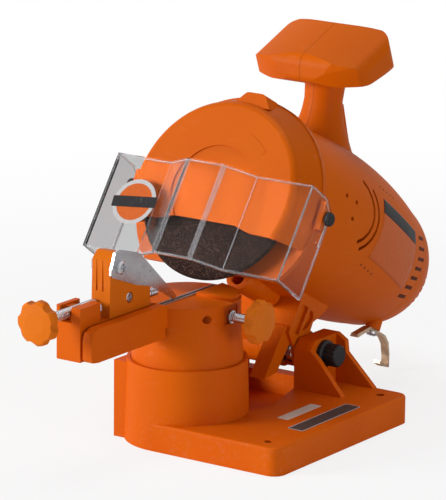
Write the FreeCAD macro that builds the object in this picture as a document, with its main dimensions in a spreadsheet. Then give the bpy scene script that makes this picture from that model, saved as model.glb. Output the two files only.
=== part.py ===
"""Bench-top chain sharpener: a small motor head with a grinding disc tilts down over a
swivelling chain vise.

World frame: +X to the right, +Y from the vise to the motor, +Z up. The origin is midway
between the two bench holes, on the underside of the base. Pieces of the base and the vise
are drawn about the turntable axis, pieces of the head about the tilt hinge, and turned
pieces about their own axis; each Placement then puts them in the world frame.
"""
import FreeCAD, Part
import math
import os
import Sketcher
from FreeCAD import Placement, Rotation, Vector

doc = FreeCAD.newDocument("chain_sharpener")
sheet = doc.addObject("Spreadsheet::Sheet", "Dims")

# --------------------------------------------------------------------------------------
# Driving dimensions, millimetres and degrees
# --------------------------------------------------------------------------------------
DIMENSIONS = {
    # base moulding, about the turntable axis
    "base_front": 38.5, "base_back": 108.5, "base_left": 36.4, "base_right": 93.0,
    "base_height": 17.6, "base_wall": 3.5, "base_corner_radius": 8.0,
    "bench_hole_inset": 14.0, "bench_hole_front": 27.5, "bench_hole_back": 95.5,
    "bench_hole_radius": 2.75, "bench_boss_radius": 7.0,
    "cup_rim_radius": 37.0, "cup_height": 51.0, "cup_floor": 20.0, "cup_web": 4.5,
    "cup_wall": 2.2, "web_front": 26.0, "web_height": 48.5, "well_floor": 4.0,
    # pedestals and tilt hinge
    "hinge_back": 90.0, "hinge_height": 39.0, "ear_gap": 56.0, "ear_thickness": 12.0,
    "ear_front": 75.4, "ear_top": 49.0, "gusset_thickness": 4.0, "gusset_foot": 68.0,
    "bolt_radius": 4.0, "running_gap": 0.05, "washer_thickness": 1.5,
    "washer_radius": 8.0, "nut_across": 13.0, "nut_height": 6.0,
    "pivot_knob_radius": 6.5, "pivot_flange_radius": 8.6, "pivot_knob_length": 12.2,
    # turntable and chain vise
    "drum_radius": 34.3, "drum_top": 77.0, "drum_wall": 3.0, "vise_radius": 32.6,
    "vise_top": 89.0, "vise_step": 2.2, "slot_width": 1.8, "plate_thickness": 1.4,
    "plate_length": 60.0, "plate_height": 9.0, "rail_reach": 108.0, "rail_bottom": 70.8,
    "rail_top": 91.3, "rail_thickness": 6.5, "rail_corner": 7.0, "guide_pin_radius": 2.5,
    "guide_pin_pitch": 36.0, "clamp_height": 81.0, "screw_radius": 3.0,
    "clamp_knob_start": 46.0, "knob_radius": 13.6, "knob_thickness": 7.8,
    "knob_hub_radius": 6.5, "knob_hub_length": 3.0, "knob_lobes": 7.0,
    "table_bolt_length": 23.0, "lock_knob_radius": 15.0, "lock_knob_height": 8.0,
    # chain stop that rides on the fixed rail
    "yoke_width": 18.5, "yoke_top": 103.4, "yoke_floor": 94.0, "yoke_length": 20.0,
    "stop_screw_left": 11.7, "stop_screw_height": 99.3, "stop_knob_start": 127.5,
    "block_front": 79.0, "block_length": 41.0, "block_width": 13.5, "block_height": 15.5,
    "post_height": 39.0, "post_length": 17.0, "pawl_thickness": 1.6,
    "pawl_pin_radius": 2.5, "pawl_pin_back": 70.9, "pawl_pin_height": 121.6,
    # tilting head, about the hinge
    "head_tilt": 28.0, "spindle_height": 67.4, "arm_half_width": 26.5,
    "hinge_barrel_radius": 12.6, "shell_wall": 3.0, "shell_front": 85.5,
    "nose_radius": 44.5, "crown_radius": 345.0, "body_lift": 11.5, "tail_back": 78.0,
    "tail_radius": 44.0, "cap_back": 118.0, "cap_radius": 17.0, "neck_radius": 12.2,
    "neck_back": 13.0, "neck_up": 138.0, "neck_lean": 18.0, "handle_half_width": 41.5,
    "handle_depth": 50.0, "handle_thickness": 28.0, "handle_nose_back": 58.0,
    "handle_nose_up": 171.5, "handle_angle": 49.0,
    "shell_screw_radius": 1.9,
    # disc, guard and shield
    "disc_reach": 101.0, "disc_radius": 54.0, "disc_thickness": 3.2,
    "disc_bore_radius": 11.5, "guard_radius": 58.7, "guard_rim_radius": 65.0,
    "guard_reach": 109.5, "guard_wall": 2.2, "guard_back_face": 89.5,
    "guard_chord": 22.5, "dish_radius": 29.0, "dish_depth": 1.0, "back_radius": 66.0,
    "back_chord": 45.0, "lug_reach": 70.4, "lug_height": 18.0, "shield_lean": 7.6,
    "shield_half_width": 72.4, "shield_thickness": 1.8, "shield_reach": 26.6,
    "shield_bulge": 11.0, "shield_drop": 53.0, "shield_rise": 10.5, "shield_wing": 3.5,
    "shield_screw_up": 66.2, "shield_screw_back": 88.8, "shield_travel": 16.0,
    # motor
    "shaft_radius": 4.0, "bearing_radius": 11.0, "bearing_width": 7.0,
    "front_bearing_reach": 70.0, "rear_bearing_back": 93.0, "core_radius": 15.0,
    "core_length": 30.0, "stator_radius": 26.0, "stator_bore": 15.8,
    "stator_length": 32.0, "commutator_radius": 9.0, "commutator_length": 12.0,
    "fan_radius": 22.0, "fan_width": 8.0, "flange_radius": 17.0, "flange_thickness": 4.0,
}

for row, (alias, number) in enumerate(DIMENSIONS.items(), start=1):
    sheet.set(f"A{row}", alias)
    sheet.set(f"B{row}", str(number))
    sheet.setAlias(f"B{row}", alias)
doc.recompute()


class Size:
    """A dimension: its number now, and the sheet expression that it stands for."""

    def __init__(self, value, text):
        self.value = value
        self.text = text

    @staticmethod
    def of(other):
        return other if isinstance(other, Size) else Size(float(other), repr(float(other)))

    def join(self, other, sign, value):
        return Size(value, f"({self.text} {sign} {other.text})")

    def __add__(self, other):
        other = Size.of(other)
        return self.join(other, "+", self.value + other.value)

    def __radd__(self, other):
        return Size.of(other) + self

    def __sub__(self, other):
        other = Size.of(other)
        return self.join(other, "-", self.value - other.value)

    def __rsub__(self, other):
        return Size.of(other) - self

    def __mul__(self, other):
        other = Size.of(other)
        return self.join(other, "*", self.value * other.value)

    def __rmul__(self, other):
        return Size.of(other) * self

    def __truediv__(self, other):
        other = Size.of(other)
        return self.join(other, "/", self.value / other.value)

    def __neg__(self):
        return Size.of(0) - self

    def __float__(self):
        return float(self.value)


class Dims:
    """Every driving dimension as a Size attribute."""


for alias, number in DIMENSIONS.items():
    setattr(Dims, alias, Size(number, f"Dims.{alias}"))
D = Dims

# --------------------------------------------------------------------------------------
# Frames
# --------------------------------------------------------------------------------------
BENCH_HOLE_X = D.base_right - D.bench_hole_inset
BENCH_MIDDLE_Y = (D.bench_hole_back - D.bench_hole_front) / 2
AXIS_OFFSET = Vector(-BENCH_HOLE_X.value, -BENCH_MIDDLE_Y.value, 0)
X_AXIS = Vector(1, 0, 0)
Y_AXIS = Vector(0, 1, 0)
Z_AXIS = Vector(0, 0, 1)

VISE_FRAME = Placement(AXIS_OFFSET, Rotation())
HEAD_FRAME = Placement(
    AXIS_OFFSET + Vector(0, D.hinge_back.value, D.hinge_height.value),
    Rotation(X_AXIS, -D.head_tilt.value))
# the spindle frame has its own +Z along the spindle, from the motor to the disc
SPINDLE_FRAME = HEAD_FRAME * Placement(
    Vector(0, 0, D.spindle_height.value), Rotation(X_AXIS, 90))


def along_x(frame, x, y, z):
    """A frame whose own +Z runs along the given frame's +X, from the point x, y, z."""
    return frame * Placement(Vector(float(x), float(y), float(z)), Rotation(Y_AXIS, 90))


def along_y(frame, x, y, z):
    """A frame whose own +Z runs along the given frame's -Y, from the point x, y, z."""
    return frame * Placement(Vector(float(x), float(y), float(z)), Rotation(X_AXIS, 90))


def upright(frame, x, y, z):
    return frame * Placement(Vector(float(x), float(y), float(z)), Rotation())


# --------------------------------------------------------------------------------------
# Drawing helpers
# --------------------------------------------------------------------------------------
PARTS = []
PLANES = {"XY": "XY_Plane", "XZ": "XZ_Plane", "YZ": "YZ_Plane"}


def bind(obj, prop, size):
    """Set a property from a Size; plain numbers need no expression."""
    size = Size.of(size)
    if "Dims" in size.text:
        obj.setExpression(prop, size.text)
    else:
        setattr(obj, prop, int(size.value) if prop == "Occurrences" else size.value)


def place_sketch(item, shift, offset):
    numbers = [Size.of(v) for v in (shift[0], shift[1], offset)]
    item.AttachmentOffset = Placement(Vector(*[n.value for n in numbers]), Rotation())
    for axis, number in zip("xyz", numbers):
        if "Dims" in number.text:
            item.setExpression(f"AttachmentOffset.Base.{axis}", number.text)


class Sketch:
    """A constrained sketch on one of its body's origin planes, moved along the normal."""

    def __init__(self, body, plane, offset=0, shift=(0, 0)):
        self.item = body.newObject("Sketcher::SketchObject", f"{body.Name}_sketch")
        role = PLANES[plane]
        support = [f for f in body.Origin.OriginFeatures if f.Role == role][0]
        self.item.AttachmentSupport = [(support, "")]
        self.item.MapMode = "FlatFace"
        place_sketch(self.item, shift, offset)

    def fix(self, kind, first, first_pos, second, second_pos, size):
        size = Size.of(size)
        index = self.item.addConstraint(
            Sketcher.Constraint(kind, first, first_pos, second, second_pos, size.value))
        self.follow(index, size)

    def follow(self, index, size):
        if "Dims" in size.text:
            self.item.setExpression(f"Constraints[{index}]", size.text)

    def locate(self, geometry, position, x, y):
        """Dimension a point from the sketch's origin."""
        self.fix("DistanceX", -1, 1, geometry, position, x)
        self.fix("DistanceY", -1, 1, geometry, position, y)

    def circle(self, x, y, radius):
        x, y, radius = Size.of(x), Size.of(y), Size.of(radius)
        shape = Part.Circle(Vector(x.value, y.value, 0), Z_AXIS, radius.value)
        index = self.item.addGeometry(shape, False)
        self.locate(index, 3, x, y)
        constraint = self.item.addConstraint(
            Sketcher.Constraint("Radius", index, radius.value))
        self.follow(constraint, radius)
        return self

    def outline(self, points):
        """A closed outline with each corner dimensioned from the origin.

        A third number on a corner makes the next side an arc of that radius, with its
        centre on the left of the way round (or on the right if the number is negative).
        """
        sized = [(Size.of(p[0]), Size.of(p[1])) for p in points]
        vectors = [Vector(x.value, y.value, 0) for x, y in sized]
        radii = [Size.of(p[2]) if len(p) > 2 else None for p in points]
        count = len(sized)
        ends = []
        for i in range(count):
            start, stop = vectors[i], vectors[(i + 1) % count]
            if radii[i] is None:
                ends.append((self.item.addGeometry(Part.LineSegment(start, stop), False),
                             1, 2))
            else:
                ends.append(self.arc(start, stop, radii[i]))
        for i, (index, first, last) in enumerate(ends):
            following = ends[(i + 1) % count]
            self.item.addConstraint(Sketcher.Constraint(
                "Coincident", index, last, following[0], following[1]))
            self.locate(index, first, *sized[i])
            if radii[i] is not None:
                radius = radii[i] if radii[i].value > 0 else -radii[i]
                self.follow(self.item.addConstraint(
                    Sketcher.Constraint("Radius", index, radius.value)), radius)
        return self

    def arc(self, start, stop, radius):
        chord = stop - start
        left = Vector(-chord.y, chord.x, 0).normalize()
        rise = math.sqrt(radius.value ** 2 - (chord.Length / 2) ** 2)
        centre = start + chord * 0.5 + left * math.copysign(rise, radius.value)
        turns_left = radius.value > 0
        low, high = (start, stop) if turns_left else (stop, start)
        angles = [math.atan2(p.y - centre.y, p.x - centre.x) for p in (low, high)]
        circle = Part.Circle(centre, Z_AXIS, abs(radius.value))
        index = self.item.addGeometry(Part.ArcOfCircle(circle, *angles), False)
        return (index, 1, 2) if turns_left else (index, 2, 1)

    def box(self, x0, x1, y0, y1):
        return self.outline([(x0, y0), (x1, y0), (x1, y1), (x0, y1)])


class Piece:
    """One sub-part as a PartDesign body, drawn in its own frame."""

    def __init__(self, label, frame, keep=True):
        self.body = doc.addObject("PartDesign::Body", label)
        self.body.Label = label
        self.body.Placement = frame
        if keep:
            PARTS.append(self.body)

    def sketch(self, plane, offset=0, shift=(0, 0)):
        return Sketch(self.body, plane, offset, shift)

    def feature(self, kind, sketch):
        item = self.body.newObject(f"PartDesign::{kind}", f"{self.body.Name}_{kind}")
        item.Profile = sketch.item
        sketch.item.Visibility = False
        return item

    def pad(self, sketch, length, reverse=False, middle=False):
        item = self.feature("Pad", sketch)
        bind(item, "Length", length)
        item.Reversed = reverse
        item.Midplane = middle
        return item

    def pocket(self, sketch, length, reverse=False, middle=False):
        item = self.feature("Pocket", sketch)
        bind(item, "Length", length)
        item.Reversed = reverse
        item.Midplane = middle
        return item

    def revolve(self, sketch, axis="V_Axis", cut=False):
        item = self.feature("Groove" if cut else "Revolution", sketch)
        item.ReferenceAxis = (sketch.item, [axis])
        item.Angle = 360.0
        return item

    def loft(self, sketches, cut=False, ruled=False):
        kind = "SubtractiveLoft" if cut else "AdditiveLoft"
        item = self.feature(kind, sketches[0])
        item.Sections = [s.item for s in sketches[1:]]
        item.Ruled = ruled
        return item

    def polar(self, item, count, role="Z_Axis"):
        doc.recompute()
        pattern = self.body.newObject("PartDesign::PolarPattern", f"{self.body.Name}_ring")
        pattern.Originals = [item]
        axis = [f for f in self.body.Origin.OriginFeatures if f.Role == role][0]
        pattern.Axis = (axis, [""])
        pattern.Angle = 360.0
        bind(pattern, "Occurrences", count)
        self.body.Tip = pattern
        return pattern

    def edges_where(self, test):
        """Names of the current tip's edges for which the test holds."""
        doc.recompute()
        shape = self.body.Tip.Shape
        return [f"Edge{i}" for i, edge in enumerate(shape.Edges, start=1) if test(edge)]

    def dress(self, kind, prop, size, test):
        names = self.edges_where(test)
        tip = self.body.Tip
        item = self.body.newObject(f"PartDesign::{kind}", f"{self.body.Name}_{kind}")
        item.Base = (tip, names)
        bind(item, prop, size)
        self.body.Tip = item
        return item

    def fillet(self, radius, test):
        return self.dress("Fillet", "Radius", radius, test)

    def chamfer(self, size, test):
        return self.dress("Chamfer", "Size", size, test)


def is_line_along(edge, axis):
    if not isinstance(edge.Curve, Part.Line):
        return False
    return abs(edge.tangentAt(edge.FirstParameter).dot(axis)) > 0.999


def near(value, target, tolerance=0.05):
    return abs(value - float(target)) < tolerance


def turned(label, frame, profile, keep=True):
    """A piece turned about its own Z axis from a profile of radius and height points."""
    piece = Piece(label, frame, keep)
    piece.revolve(piece.sketch("XZ").outline(profile))
    return piece


def rod(label, frame, radius, length, keep=True):
    piece = Piece(label, frame, keep)
    piece.pad(piece.sketch("XY").circle(0, 0, radius), length)
    return piece


def ring(label, frame, outer, inner, length):
    piece = Piece(label, frame)
    piece.pad(piece.sketch("XY").circle(0, 0, outer).circle(0, 0, inner), length)
    return piece


def group(label, shapes):
    """Several identical loose solids kept as one node."""
    item = doc.addObject("Part::Compound", label)
    item.Label = label
    item.Links = shapes
    PARTS.append(item)
    return item


def boolean(kind, label, links, keep=False):
    item = doc.addObject(f"Part::{kind}", label)
    item.Label = label
    if kind in ("Cut", "Common"):
        item.Base, item.Tool = links
    else:
        item.Shapes = links
    if keep:
        PARTS.append(item)
    return item


# --------------------------------------------------------------------------------------
# Base moulding and tilt hinge
# --------------------------------------------------------------------------------------
EAR_INNER = D.ear_gap / 2
EAR_OUTER = EAR_INNER + D.ear_thickness

base = Piece("base", VISE_FRAME)
base.pad(base.sketch("XY").outline([
    (0, -D.base_front), (D.base_right, -D.base_front), (D.base_right, D.base_back),
    (-D.base_left, D.base_back), (-D.base_left, -D.web_front), (0, -D.web_front)]),
    D.base_height)
base.fillet(D.base_corner_radius, lambda e: is_line_along(e, Z_AXIS)
            and near(e.Vertexes[0].X, D.base_right))
base.fillet(1.6, lambda e: near(e.BoundBox.ZMin, D.base_height)
            and e.BoundBox.XMax > 5 and near(e.BoundBox.ZMax, D.base_height))
INNER_RIGHT = D.base_right - D.base_wall
base.pocket(base.sketch("XY").outline([
    (3, D.base_wall - D.base_front), (INNER_RIGHT - 8, D.base_wall - D.base_front),
    (INNER_RIGHT, 11 - D.base_front), (INNER_RIGHT, D.base_back - 11),
    (INNER_RIGHT - 8, D.base_back - D.base_wall),
    (D.base_wall - D.base_left, D.base_back - D.base_wall),
    (D.base_wall - D.base_left, D.base_wall - D.web_front), (3, D.base_wall - D.web_front)]),
    D.base_height - D.base_wall, reverse=True)
# the well between the cup and the pedestals
base.pad(base.sketch("XY").outline([
    (-29.5, 20), (31, 20), (42.5, 31), (31.5, 79), (31.5, 102), (-29.5, 102)]),
    D.base_height)
base.pocket(base.sketch("XY", D.base_height).outline([
    (-26, 15), (30, 15), (39, 33), (28, 75.4), (28, 98), (-26, 98)]),
    D.base_height - D.well_floor)
# bosses for the two bench screws
bosses = base.sketch("XY")
for back in (-D.bench_hole_front, D.bench_hole_back):
    bosses.circle(BENCH_HOLE_X, back, D.bench_boss_radius)
base.pad(bosses, D.base_height - 1)
holes = base.sketch("XY")
for back in (-D.bench_hole_front, D.bench_hole_back):
    holes.circle(BENCH_HOLE_X, back, D.bench_hole_radius)
base.pocket(holes, D.base_height, reverse=True)
# side web, cup and the bore under the turntable
base.pad(base.sketch("YZ", -D.base_left).outline([
    (-D.web_front, 0), (-D.web_front, D.web_height), (-10, D.web_height), (8, 44),
    (45, D.base_height), (45, 0)]), 13)
CUP_FOOT = D.cup_rim_radius + 1.5
base.revolve(base.sketch("XZ").outline([
    (0, 0), (CUP_FOOT, 0), (D.cup_rim_radius, D.cup_height), (0, D.cup_height)]))
CUP_BORE = D.cup_rim_radius - D.cup_wall
base.revolve(base.sketch("XZ").outline([
    (0, D.cup_floor), (CUP_BORE, D.cup_floor), (CUP_BORE, D.cup_height + 5),
    (0, D.cup_height + 5)]), cut=True)
base.revolve(base.sketch("XZ").outline([
    (0, 0), (CUP_BORE - 4, 0), (CUP_BORE - 4, D.cup_floor - D.cup_web),
    (0, D.cup_floor - D.cup_web)]), cut=True)
# pedestals
EAR_SIDE = [(D.ear_front, 0), (D.ear_front, D.ear_top - 5.4), (D.ear_front + 6, D.ear_top),
            (D.base_back, D.ear_top), (D.base_back, 0)]
base.pad(base.sketch("YZ", EAR_INNER).outline(EAR_SIDE), D.ear_thickness)
base.pad(base.sketch("YZ", -D.base_left).outline(EAR_SIDE), D.base_left - EAR_INNER)
# the front and rear gussets on the right
base.pad(base.sketch("XZ", -D.ear_front).outline([
    (EAR_INNER, D.base_height - 3), (EAR_INNER, D.ear_top - 5.4), (EAR_OUTER, D.ear_top - 5.4),
    (45.8, 38.3), (D.gusset_foot - 4.4, D.base_height),
    (D.gusset_foot - 4.4, D.base_height - 3)]),
    D.gusset_thickness, reverse=True)
base.pad(base.sketch("XZ", -D.base_back).outline([
    (EAR_INNER, D.base_height - 3), (EAR_INNER, D.ear_top), (EAR_OUTER, D.ear_top),
    (46.6, 44.9), (47.5, 37.5), (D.gusset_foot, D.base_height),
    (D.gusset_foot, D.base_height - 3)]),
    D.gusset_thickness)
# cores under the pedestals
cores = base.sketch("XY")
cores.box(EAR_INNER + 3, EAR_OUTER - 3, D.ear_front + 4, D.base_back - 4)
cores.box(3 - D.base_left, -EAR_INNER - 2, D.ear_front + 4, D.base_back - 4)
base.pocket(cores, 29, reverse=True)
# hinge bore and turntable bore
base.pocket(base.sketch("YZ", 60).circle(
    D.hinge_back, D.hinge_height, D.bolt_radius + D.running_gap), 120)
base.pocket(base.sketch("XY").circle(0, 0, D.bolt_radius + D.running_gap),
            30, reverse=True)

HINGE = along_x(VISE_FRAME, 0, D.hinge_back, D.hinge_height)
KNOB_START = EAR_OUTER + 0.2
pivot_bolt = Piece("pivot_bolt", HINGE)
pivot_bolt.pad(pivot_bolt.sketch("XY", -D.base_left).circle(0, 0, D.bolt_radius),
               D.base_left + KNOB_START + D.pivot_knob_length - 4)
HEX = [(math.cos(math.radians(60 * i)), math.sin(math.radians(60 * i))) for i in range(6)]
HEX_RADIUS = D.nut_across / math.sqrt(3)
pivot_bolt.pad(pivot_bolt.sketch("XY", -D.base_left).outline(
    [(HEX_RADIUS * c, HEX_RADIUS * k) for c, k in HEX]), 5, reverse=True)

pivot_knob = Piece("pivot_knob", along_x(VISE_FRAME, KNOB_START, D.hinge_back,
                                         D.hinge_height))
pivot_knob.revolve(pivot_knob.sketch("XZ").outline([
    (0, 0), (D.pivot_flange_radius, 0), (D.pivot_flange_radius, 2.6),
    (D.pivot_knob_radius + 0.6, 3.4), (D.pivot_knob_radius + 0.6, D.pivot_knob_length - 1),
    (D.pivot_knob_radius - 0.4, D.pivot_knob_length), (0, D.pivot_knob_length)]))
groove = pivot_knob.pocket(pivot_knob.sketch("XY", 3.6).circle(
    D.pivot_knob_radius + 1.0, 0, 0.9), D.pivot_knob_length, reverse=True)
pivot_knob.polar(groove, 16)
pivot_knob.pocket(pivot_knob.sketch("XY").circle(
    0, 0, D.bolt_radius + D.running_gap), D.pivot_knob_length - 3.8, reverse=True)


def washers(label, frame, starts, outer, inner, thickness):
    discs = []
    for i, start in enumerate(starts):
        piece = Piece(f"{label}_{i + 1}", frame, keep=False)
        piece.pad(piece.sketch("XY", start).circle(0, 0, outer).circle(0, 0, inner),
                  thickness)
        discs.append(piece.body)
    return group(label, discs)


WASHER_BORE = D.bolt_radius + 0.3
washers("pivot_washers", HINGE, (-EAR_INNER, EAR_INNER - D.washer_thickness),
        D.washer_radius, WASHER_BORE, D.washer_thickness)

# --------------------------------------------------------------------------------------
# Turntable
# --------------------------------------------------------------------------------------
turntable = Piece("turntable", VISE_FRAME)
turntable.revolve(turntable.sketch("XZ").outline([
    (D.bolt_radius + D.running_gap, D.cup_floor), (D.drum_radius, D.cup_floor),
    (D.drum_radius, D.cup_height), (D.vise_radius, D.drum_top), (9, D.drum_top),
    (9, D.drum_top - 5), (D.vise_radius - D.drum_wall, D.drum_top - 5),
    (D.drum_radius - D.drum_wall, D.cup_height), (D.drum_radius - D.drum_wall, 25),
    (11, 25), (11, 32), (D.bolt_radius + D.running_gap, 32)]))
JAW_SCREW_X = D.vise_radius * 0.6
JAW_SCREW_Y = D.vise_radius * 0.38
for side in (-1, 1):
    turntable.pocket(turntable.sketch("XY", D.drum_top).circle(
        -JAW_SCREW_X, JAW_SCREW_Y * side, 2.2), 6)

turned("turntable_bolt", VISE_FRAME, [
    (0, 9), (D.bolt_radius, 9), (D.bolt_radius, 33.5), (7.5, 33.5), (7.5, 38.5), (0, 38.5)])
ring("turntable_washer", upright(VISE_FRAME, 0, 0, 32), 9, WASHER_BORE, 1.5)
lock_knob = Piece("turntable_lock_knob", upright(VISE_FRAME, 0, 0, 6.5))
lock_knob.pad(lock_knob.sketch("XY").circle(0, 0, D.lock_knob_radius), D.lock_knob_height)
lock_knob.pocket(lock_knob.sketch("XY", D.lock_knob_height).circle(
    0, 0, D.bolt_radius + D.running_gap), 5.5)
scallop = lock_knob.pocket(lock_knob.sketch("XY", D.lock_knob_height).circle(
    D.lock_knob_radius + 3, 0, 5), D.lock_knob_height)
lock_knob.polar(scallop, 6)

# --------------------------------------------------------------------------------------
# Vise jaws, each a half drum with its own rail
# --------------------------------------------------------------------------------------
HALF_SLOT = D.slot_width / 2
PIN_HEIGHT = D.clamp_height
PLATE_BOTTOM = D.vise_top - D.plate_height


def rail_side(reach, corner):
    """Side view of a rail, along Y and Z, with its front corners cut back."""
    return [(-reach + corner, D.rail_bottom), (-33.5, D.rail_bottom), (-33.5, D.drum_top),
            (-20, D.drum_top), (-20, D.vise_top), (-31, D.vise_top), (-33.5, D.rail_top),
            (-reach + corner, D.rail_top), (-reach + 1.6, D.rail_top - 2),
            (-reach, D.rail_top - corner), (-reach, D.rail_bottom + corner * 0.4),
            (-reach + 1.4, D.rail_bottom + 0.8)]


def half_drum(piece, side):
    piece.pad(piece.sketch("XY", D.drum_top).circle(0, 0, D.vise_radius),
              D.vise_top - D.drum_top)
    cutter = piece.sketch("XY", D.drum_top - 1)
    edge = HALF_SLOT * side
    cutter.box(edge, -45 * side, -45, 45)
    piece.pocket(cutter, 40, reverse=True)
    piece.pad(piece.sketch("YZ", edge).outline(rail_side(D.rail_reach, D.rail_corner)),
              D.rail_thickness, reverse=side < 0)
    face = D.plate_length / 2
    piece.pocket(piece.sketch("YZ", edge).box(-face - 0.2, face + 0.2, PLATE_BOTTOM, 95),
                 D.plate_thickness, reverse=side > 0)


def jaw_bores(piece, fit):
    bores = piece.sketch("YZ", 40)
    for side in (-1, 1):
        bores.circle(D.guide_pin_pitch / 2 * side, PIN_HEIGHT + 1, D.guide_pin_radius + fit)
    return bores


fixed_jaw = Piece("fixed_jaw", VISE_FRAME)
half_drum(fixed_jaw, -1)
YOKE_LEFT = -HALF_SLOT - D.yoke_width
CHANNEL = [-D.stop_screw_left - 4.4, -D.stop_screw_left + 4.4]
YOKE_BACK = D.yoke_length - D.rail_reach
fixed_jaw.pad(fixed_jaw.sketch("XY", D.rail_bottom).outline([
    (YOKE_LEFT + 1.5, -D.rail_reach), (-HALF_SLOT, -D.rail_reach), (-HALF_SLOT, YOKE_BACK),
    (YOKE_LEFT, YOKE_BACK), (YOKE_LEFT, 1.5 - D.rail_reach)]), D.yoke_top - D.rail_bottom)
fixed_jaw.pocket(fixed_jaw.sketch("XZ", D.rail_reach + 1).outline([
    (CHANNEL[0], D.yoke_floor), (CHANNEL[1], D.yoke_floor), (CHANNEL[1], 120),
    (CHANNEL[0], 120)]), 6.5)
fixed_jaw.pocket(fixed_jaw.sketch("XZ", -YOKE_BACK).outline([
    (CHANNEL[0], D.yoke_floor), (CHANNEL[1], D.yoke_floor), (CHANNEL[1], 120),
    (CHANNEL[0], 120)]), 7, reverse=True)
fixed_jaw.pocket(fixed_jaw.sketch("XZ", D.rail_reach - 5.5).box(
    CHANNEL[0], CHANNEL[1], D.yoke_top - 1.2, 120), D.yoke_length - 12.5)
# lightening pocket underneath the yoke
fixed_jaw.pocket(fixed_jaw.sketch("XY", D.rail_bottom).box(
    YOKE_LEFT + 3, -HALF_SLOT - D.rail_thickness, 3 - D.rail_reach, YOKE_BACK - 3),
    14, reverse=True)
fixed_jaw.pocket(fixed_jaw.sketch("XZ", 120).circle(
    -D.stop_screw_left, D.stop_screw_height, D.screw_radius + 0.06), 40)
fixed_jaw.pocket(jaw_bores(fixed_jaw, 0.03), 62.5)
fixed_jaw.pocket(fixed_jaw.sketch("YZ", 0).circle(
    0, D.clamp_height, D.screw_radius + 0.06), 18)
for side in (-1, 1):
    fixed_jaw.pocket(fixed_jaw.sketch("XY", D.drum_top).circle(
        -JAW_SCREW_X, JAW_SCREW_Y * side, 1.85), 8.5, reverse=True)
fixed_jaw.pocket(fixed_jaw.sketch("XY", D.rail_top).circle(-5, -85, 1.85), 9)

movable_jaw = Piece("movable_jaw", VISE_FRAME)
half_drum(movable_jaw, 1)
step = movable_jaw.sketch("XY", D.vise_top)
step.outline([(4, 3), (30.5, 3), (27.5, 15.5), (19, 25), (4, 31)])
movable_jaw.pad(step, D.vise_step)
movable_jaw.pocket(jaw_bores(movable_jaw, D.running_gap), 60)
movable_jaw.pocket(movable_jaw.sketch("YZ", 40).circle(
    0, D.clamp_height, D.screw_radius + 0.06), 60)
movable_jaw.pocket(movable_jaw.sketch("YZ", 40).box(-7, 7, D.clamp_height - 4.2,
                                                    D.clamp_height + 6.5), 9)


def jaw_plate(label, side):
    piece = Piece(label, VISE_FRAME)
    face = D.plate_length / 2
    piece.pad(piece.sketch("YZ", HALF_SLOT * side).box(
        -face, face, PLATE_BOTTOM, D.vise_top + 0.8), D.plate_thickness, reverse=side < 0)
    notches = piece.sketch("YZ", 5)
    notches.box(-3.4, 3.4, PLATE_BOTTOM - 2, D.clamp_height + 3.6)
    for middle in (-D.guide_pin_pitch / 2, D.guide_pin_pitch / 2):
        notches.box(middle - 3, middle + 3, PLATE_BOTTOM - 2, PIN_HEIGHT + 4)
    piece.pocket(notches, 10)


jaw_plate("fixed_jaw_plate", -1)
jaw_plate("movable_jaw_plate", 1)


def guide_pin(side):
    frame = along_x(VISE_FRAME, -22, D.guide_pin_pitch / 2 * side, PIN_HEIGHT + 1)
    return rod(f"guide_pin_{side + 2}", frame, D.guide_pin_radius, 44, keep=False).body


group("guide_pins", [guide_pin(side) for side in (-1, 1)])


def cap_screw(label, frame, radius, length, head_radius, head_height, slot=True):
    """A cap screw: its head above the frame's origin, its shank below."""
    piece = Piece(label, frame, keep=False)
    piece.revolve(piece.sketch("XZ").outline([
        (0, -Size.of(length)), (radius, -Size.of(length)), (radius, 0), (head_radius, 0),
        (head_radius, head_height * 0.6), (head_radius * 0.8, head_height),
        (0, head_height)]))
    if slot:
        for size in ((0.62, 0.13), (0.13, 0.62)):
            across, along = head_radius * size[0], head_radius * size[1]
            piece.pocket(piece.sketch("XY", head_height).box(-across, across, -along, along),
                         head_height * 0.45)
    return piece.body


def kept_screw(label, *sizes):
    body = cap_screw(label, *sizes)
    PARTS.append(body)
    return body


group("jaw_screws", [
    cap_screw(f"jaw_screw_{side + 2}", VISE_FRAME * Placement(
        Vector(-JAW_SCREW_X.value, JAW_SCREW_Y.value * side, D.drum_top.value - 5),
        Rotation(X_AXIS, 180)), 1.8, 12.5, 3.4, 2.6) for side in (-1, 1)])

# --------------------------------------------------------------------------------------
# Knobs with their screws
# --------------------------------------------------------------------------------------


def lobed_knob(label, frame):
    """A hand knob: a hub, then a lobed head whose front is slightly domed."""
    piece = Piece(label, frame)
    front = D.knob_hub_length + D.knob_thickness
    piece.revolve(piece.sketch("XZ").outline([
        (0, 0), (D.knob_hub_radius, 0), (D.knob_hub_radius + 1, D.knob_hub_length),
        (D.knob_radius - 1.2, D.knob_hub_length + 0.4),
        (D.knob_radius, D.knob_hub_length + 1.6), (D.knob_radius, front - 2.0),
        (D.knob_radius - 1.6, front - 0.6), (D.knob_radius * 0.5, front), (0, front)]))
    flute = piece.pocket(piece.sketch("XY", front).circle(
        D.knob_radius + 2.4, 0, 4.6), front)
    piece.polar(flute, D.knob_lobes)
    piece.pocket(piece.sketch("XY").circle(0, 0, D.screw_radius + 0.02), front - 4,
                 reverse=True)
    return piece


clamp_screw = Piece("clamp_screw", along_x(VISE_FRAME, 0, 0, D.clamp_height))
clamp_screw.revolve(clamp_screw.sketch("XZ").outline([
    (0, -15), (D.screw_radius - 0.6, -15), (D.screw_radius, -14.4), (D.screw_radius, 31.2),
    (3.9, 31.2), (3.9, 33.2), (D.screw_radius, 33.2),
    (D.screw_radius, D.clamp_knob_start + 6), (0, D.clamp_knob_start + 6)]))
lobed_knob("clamp_knob", along_x(VISE_FRAME, D.clamp_knob_start, 0, D.clamp_height))

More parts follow.
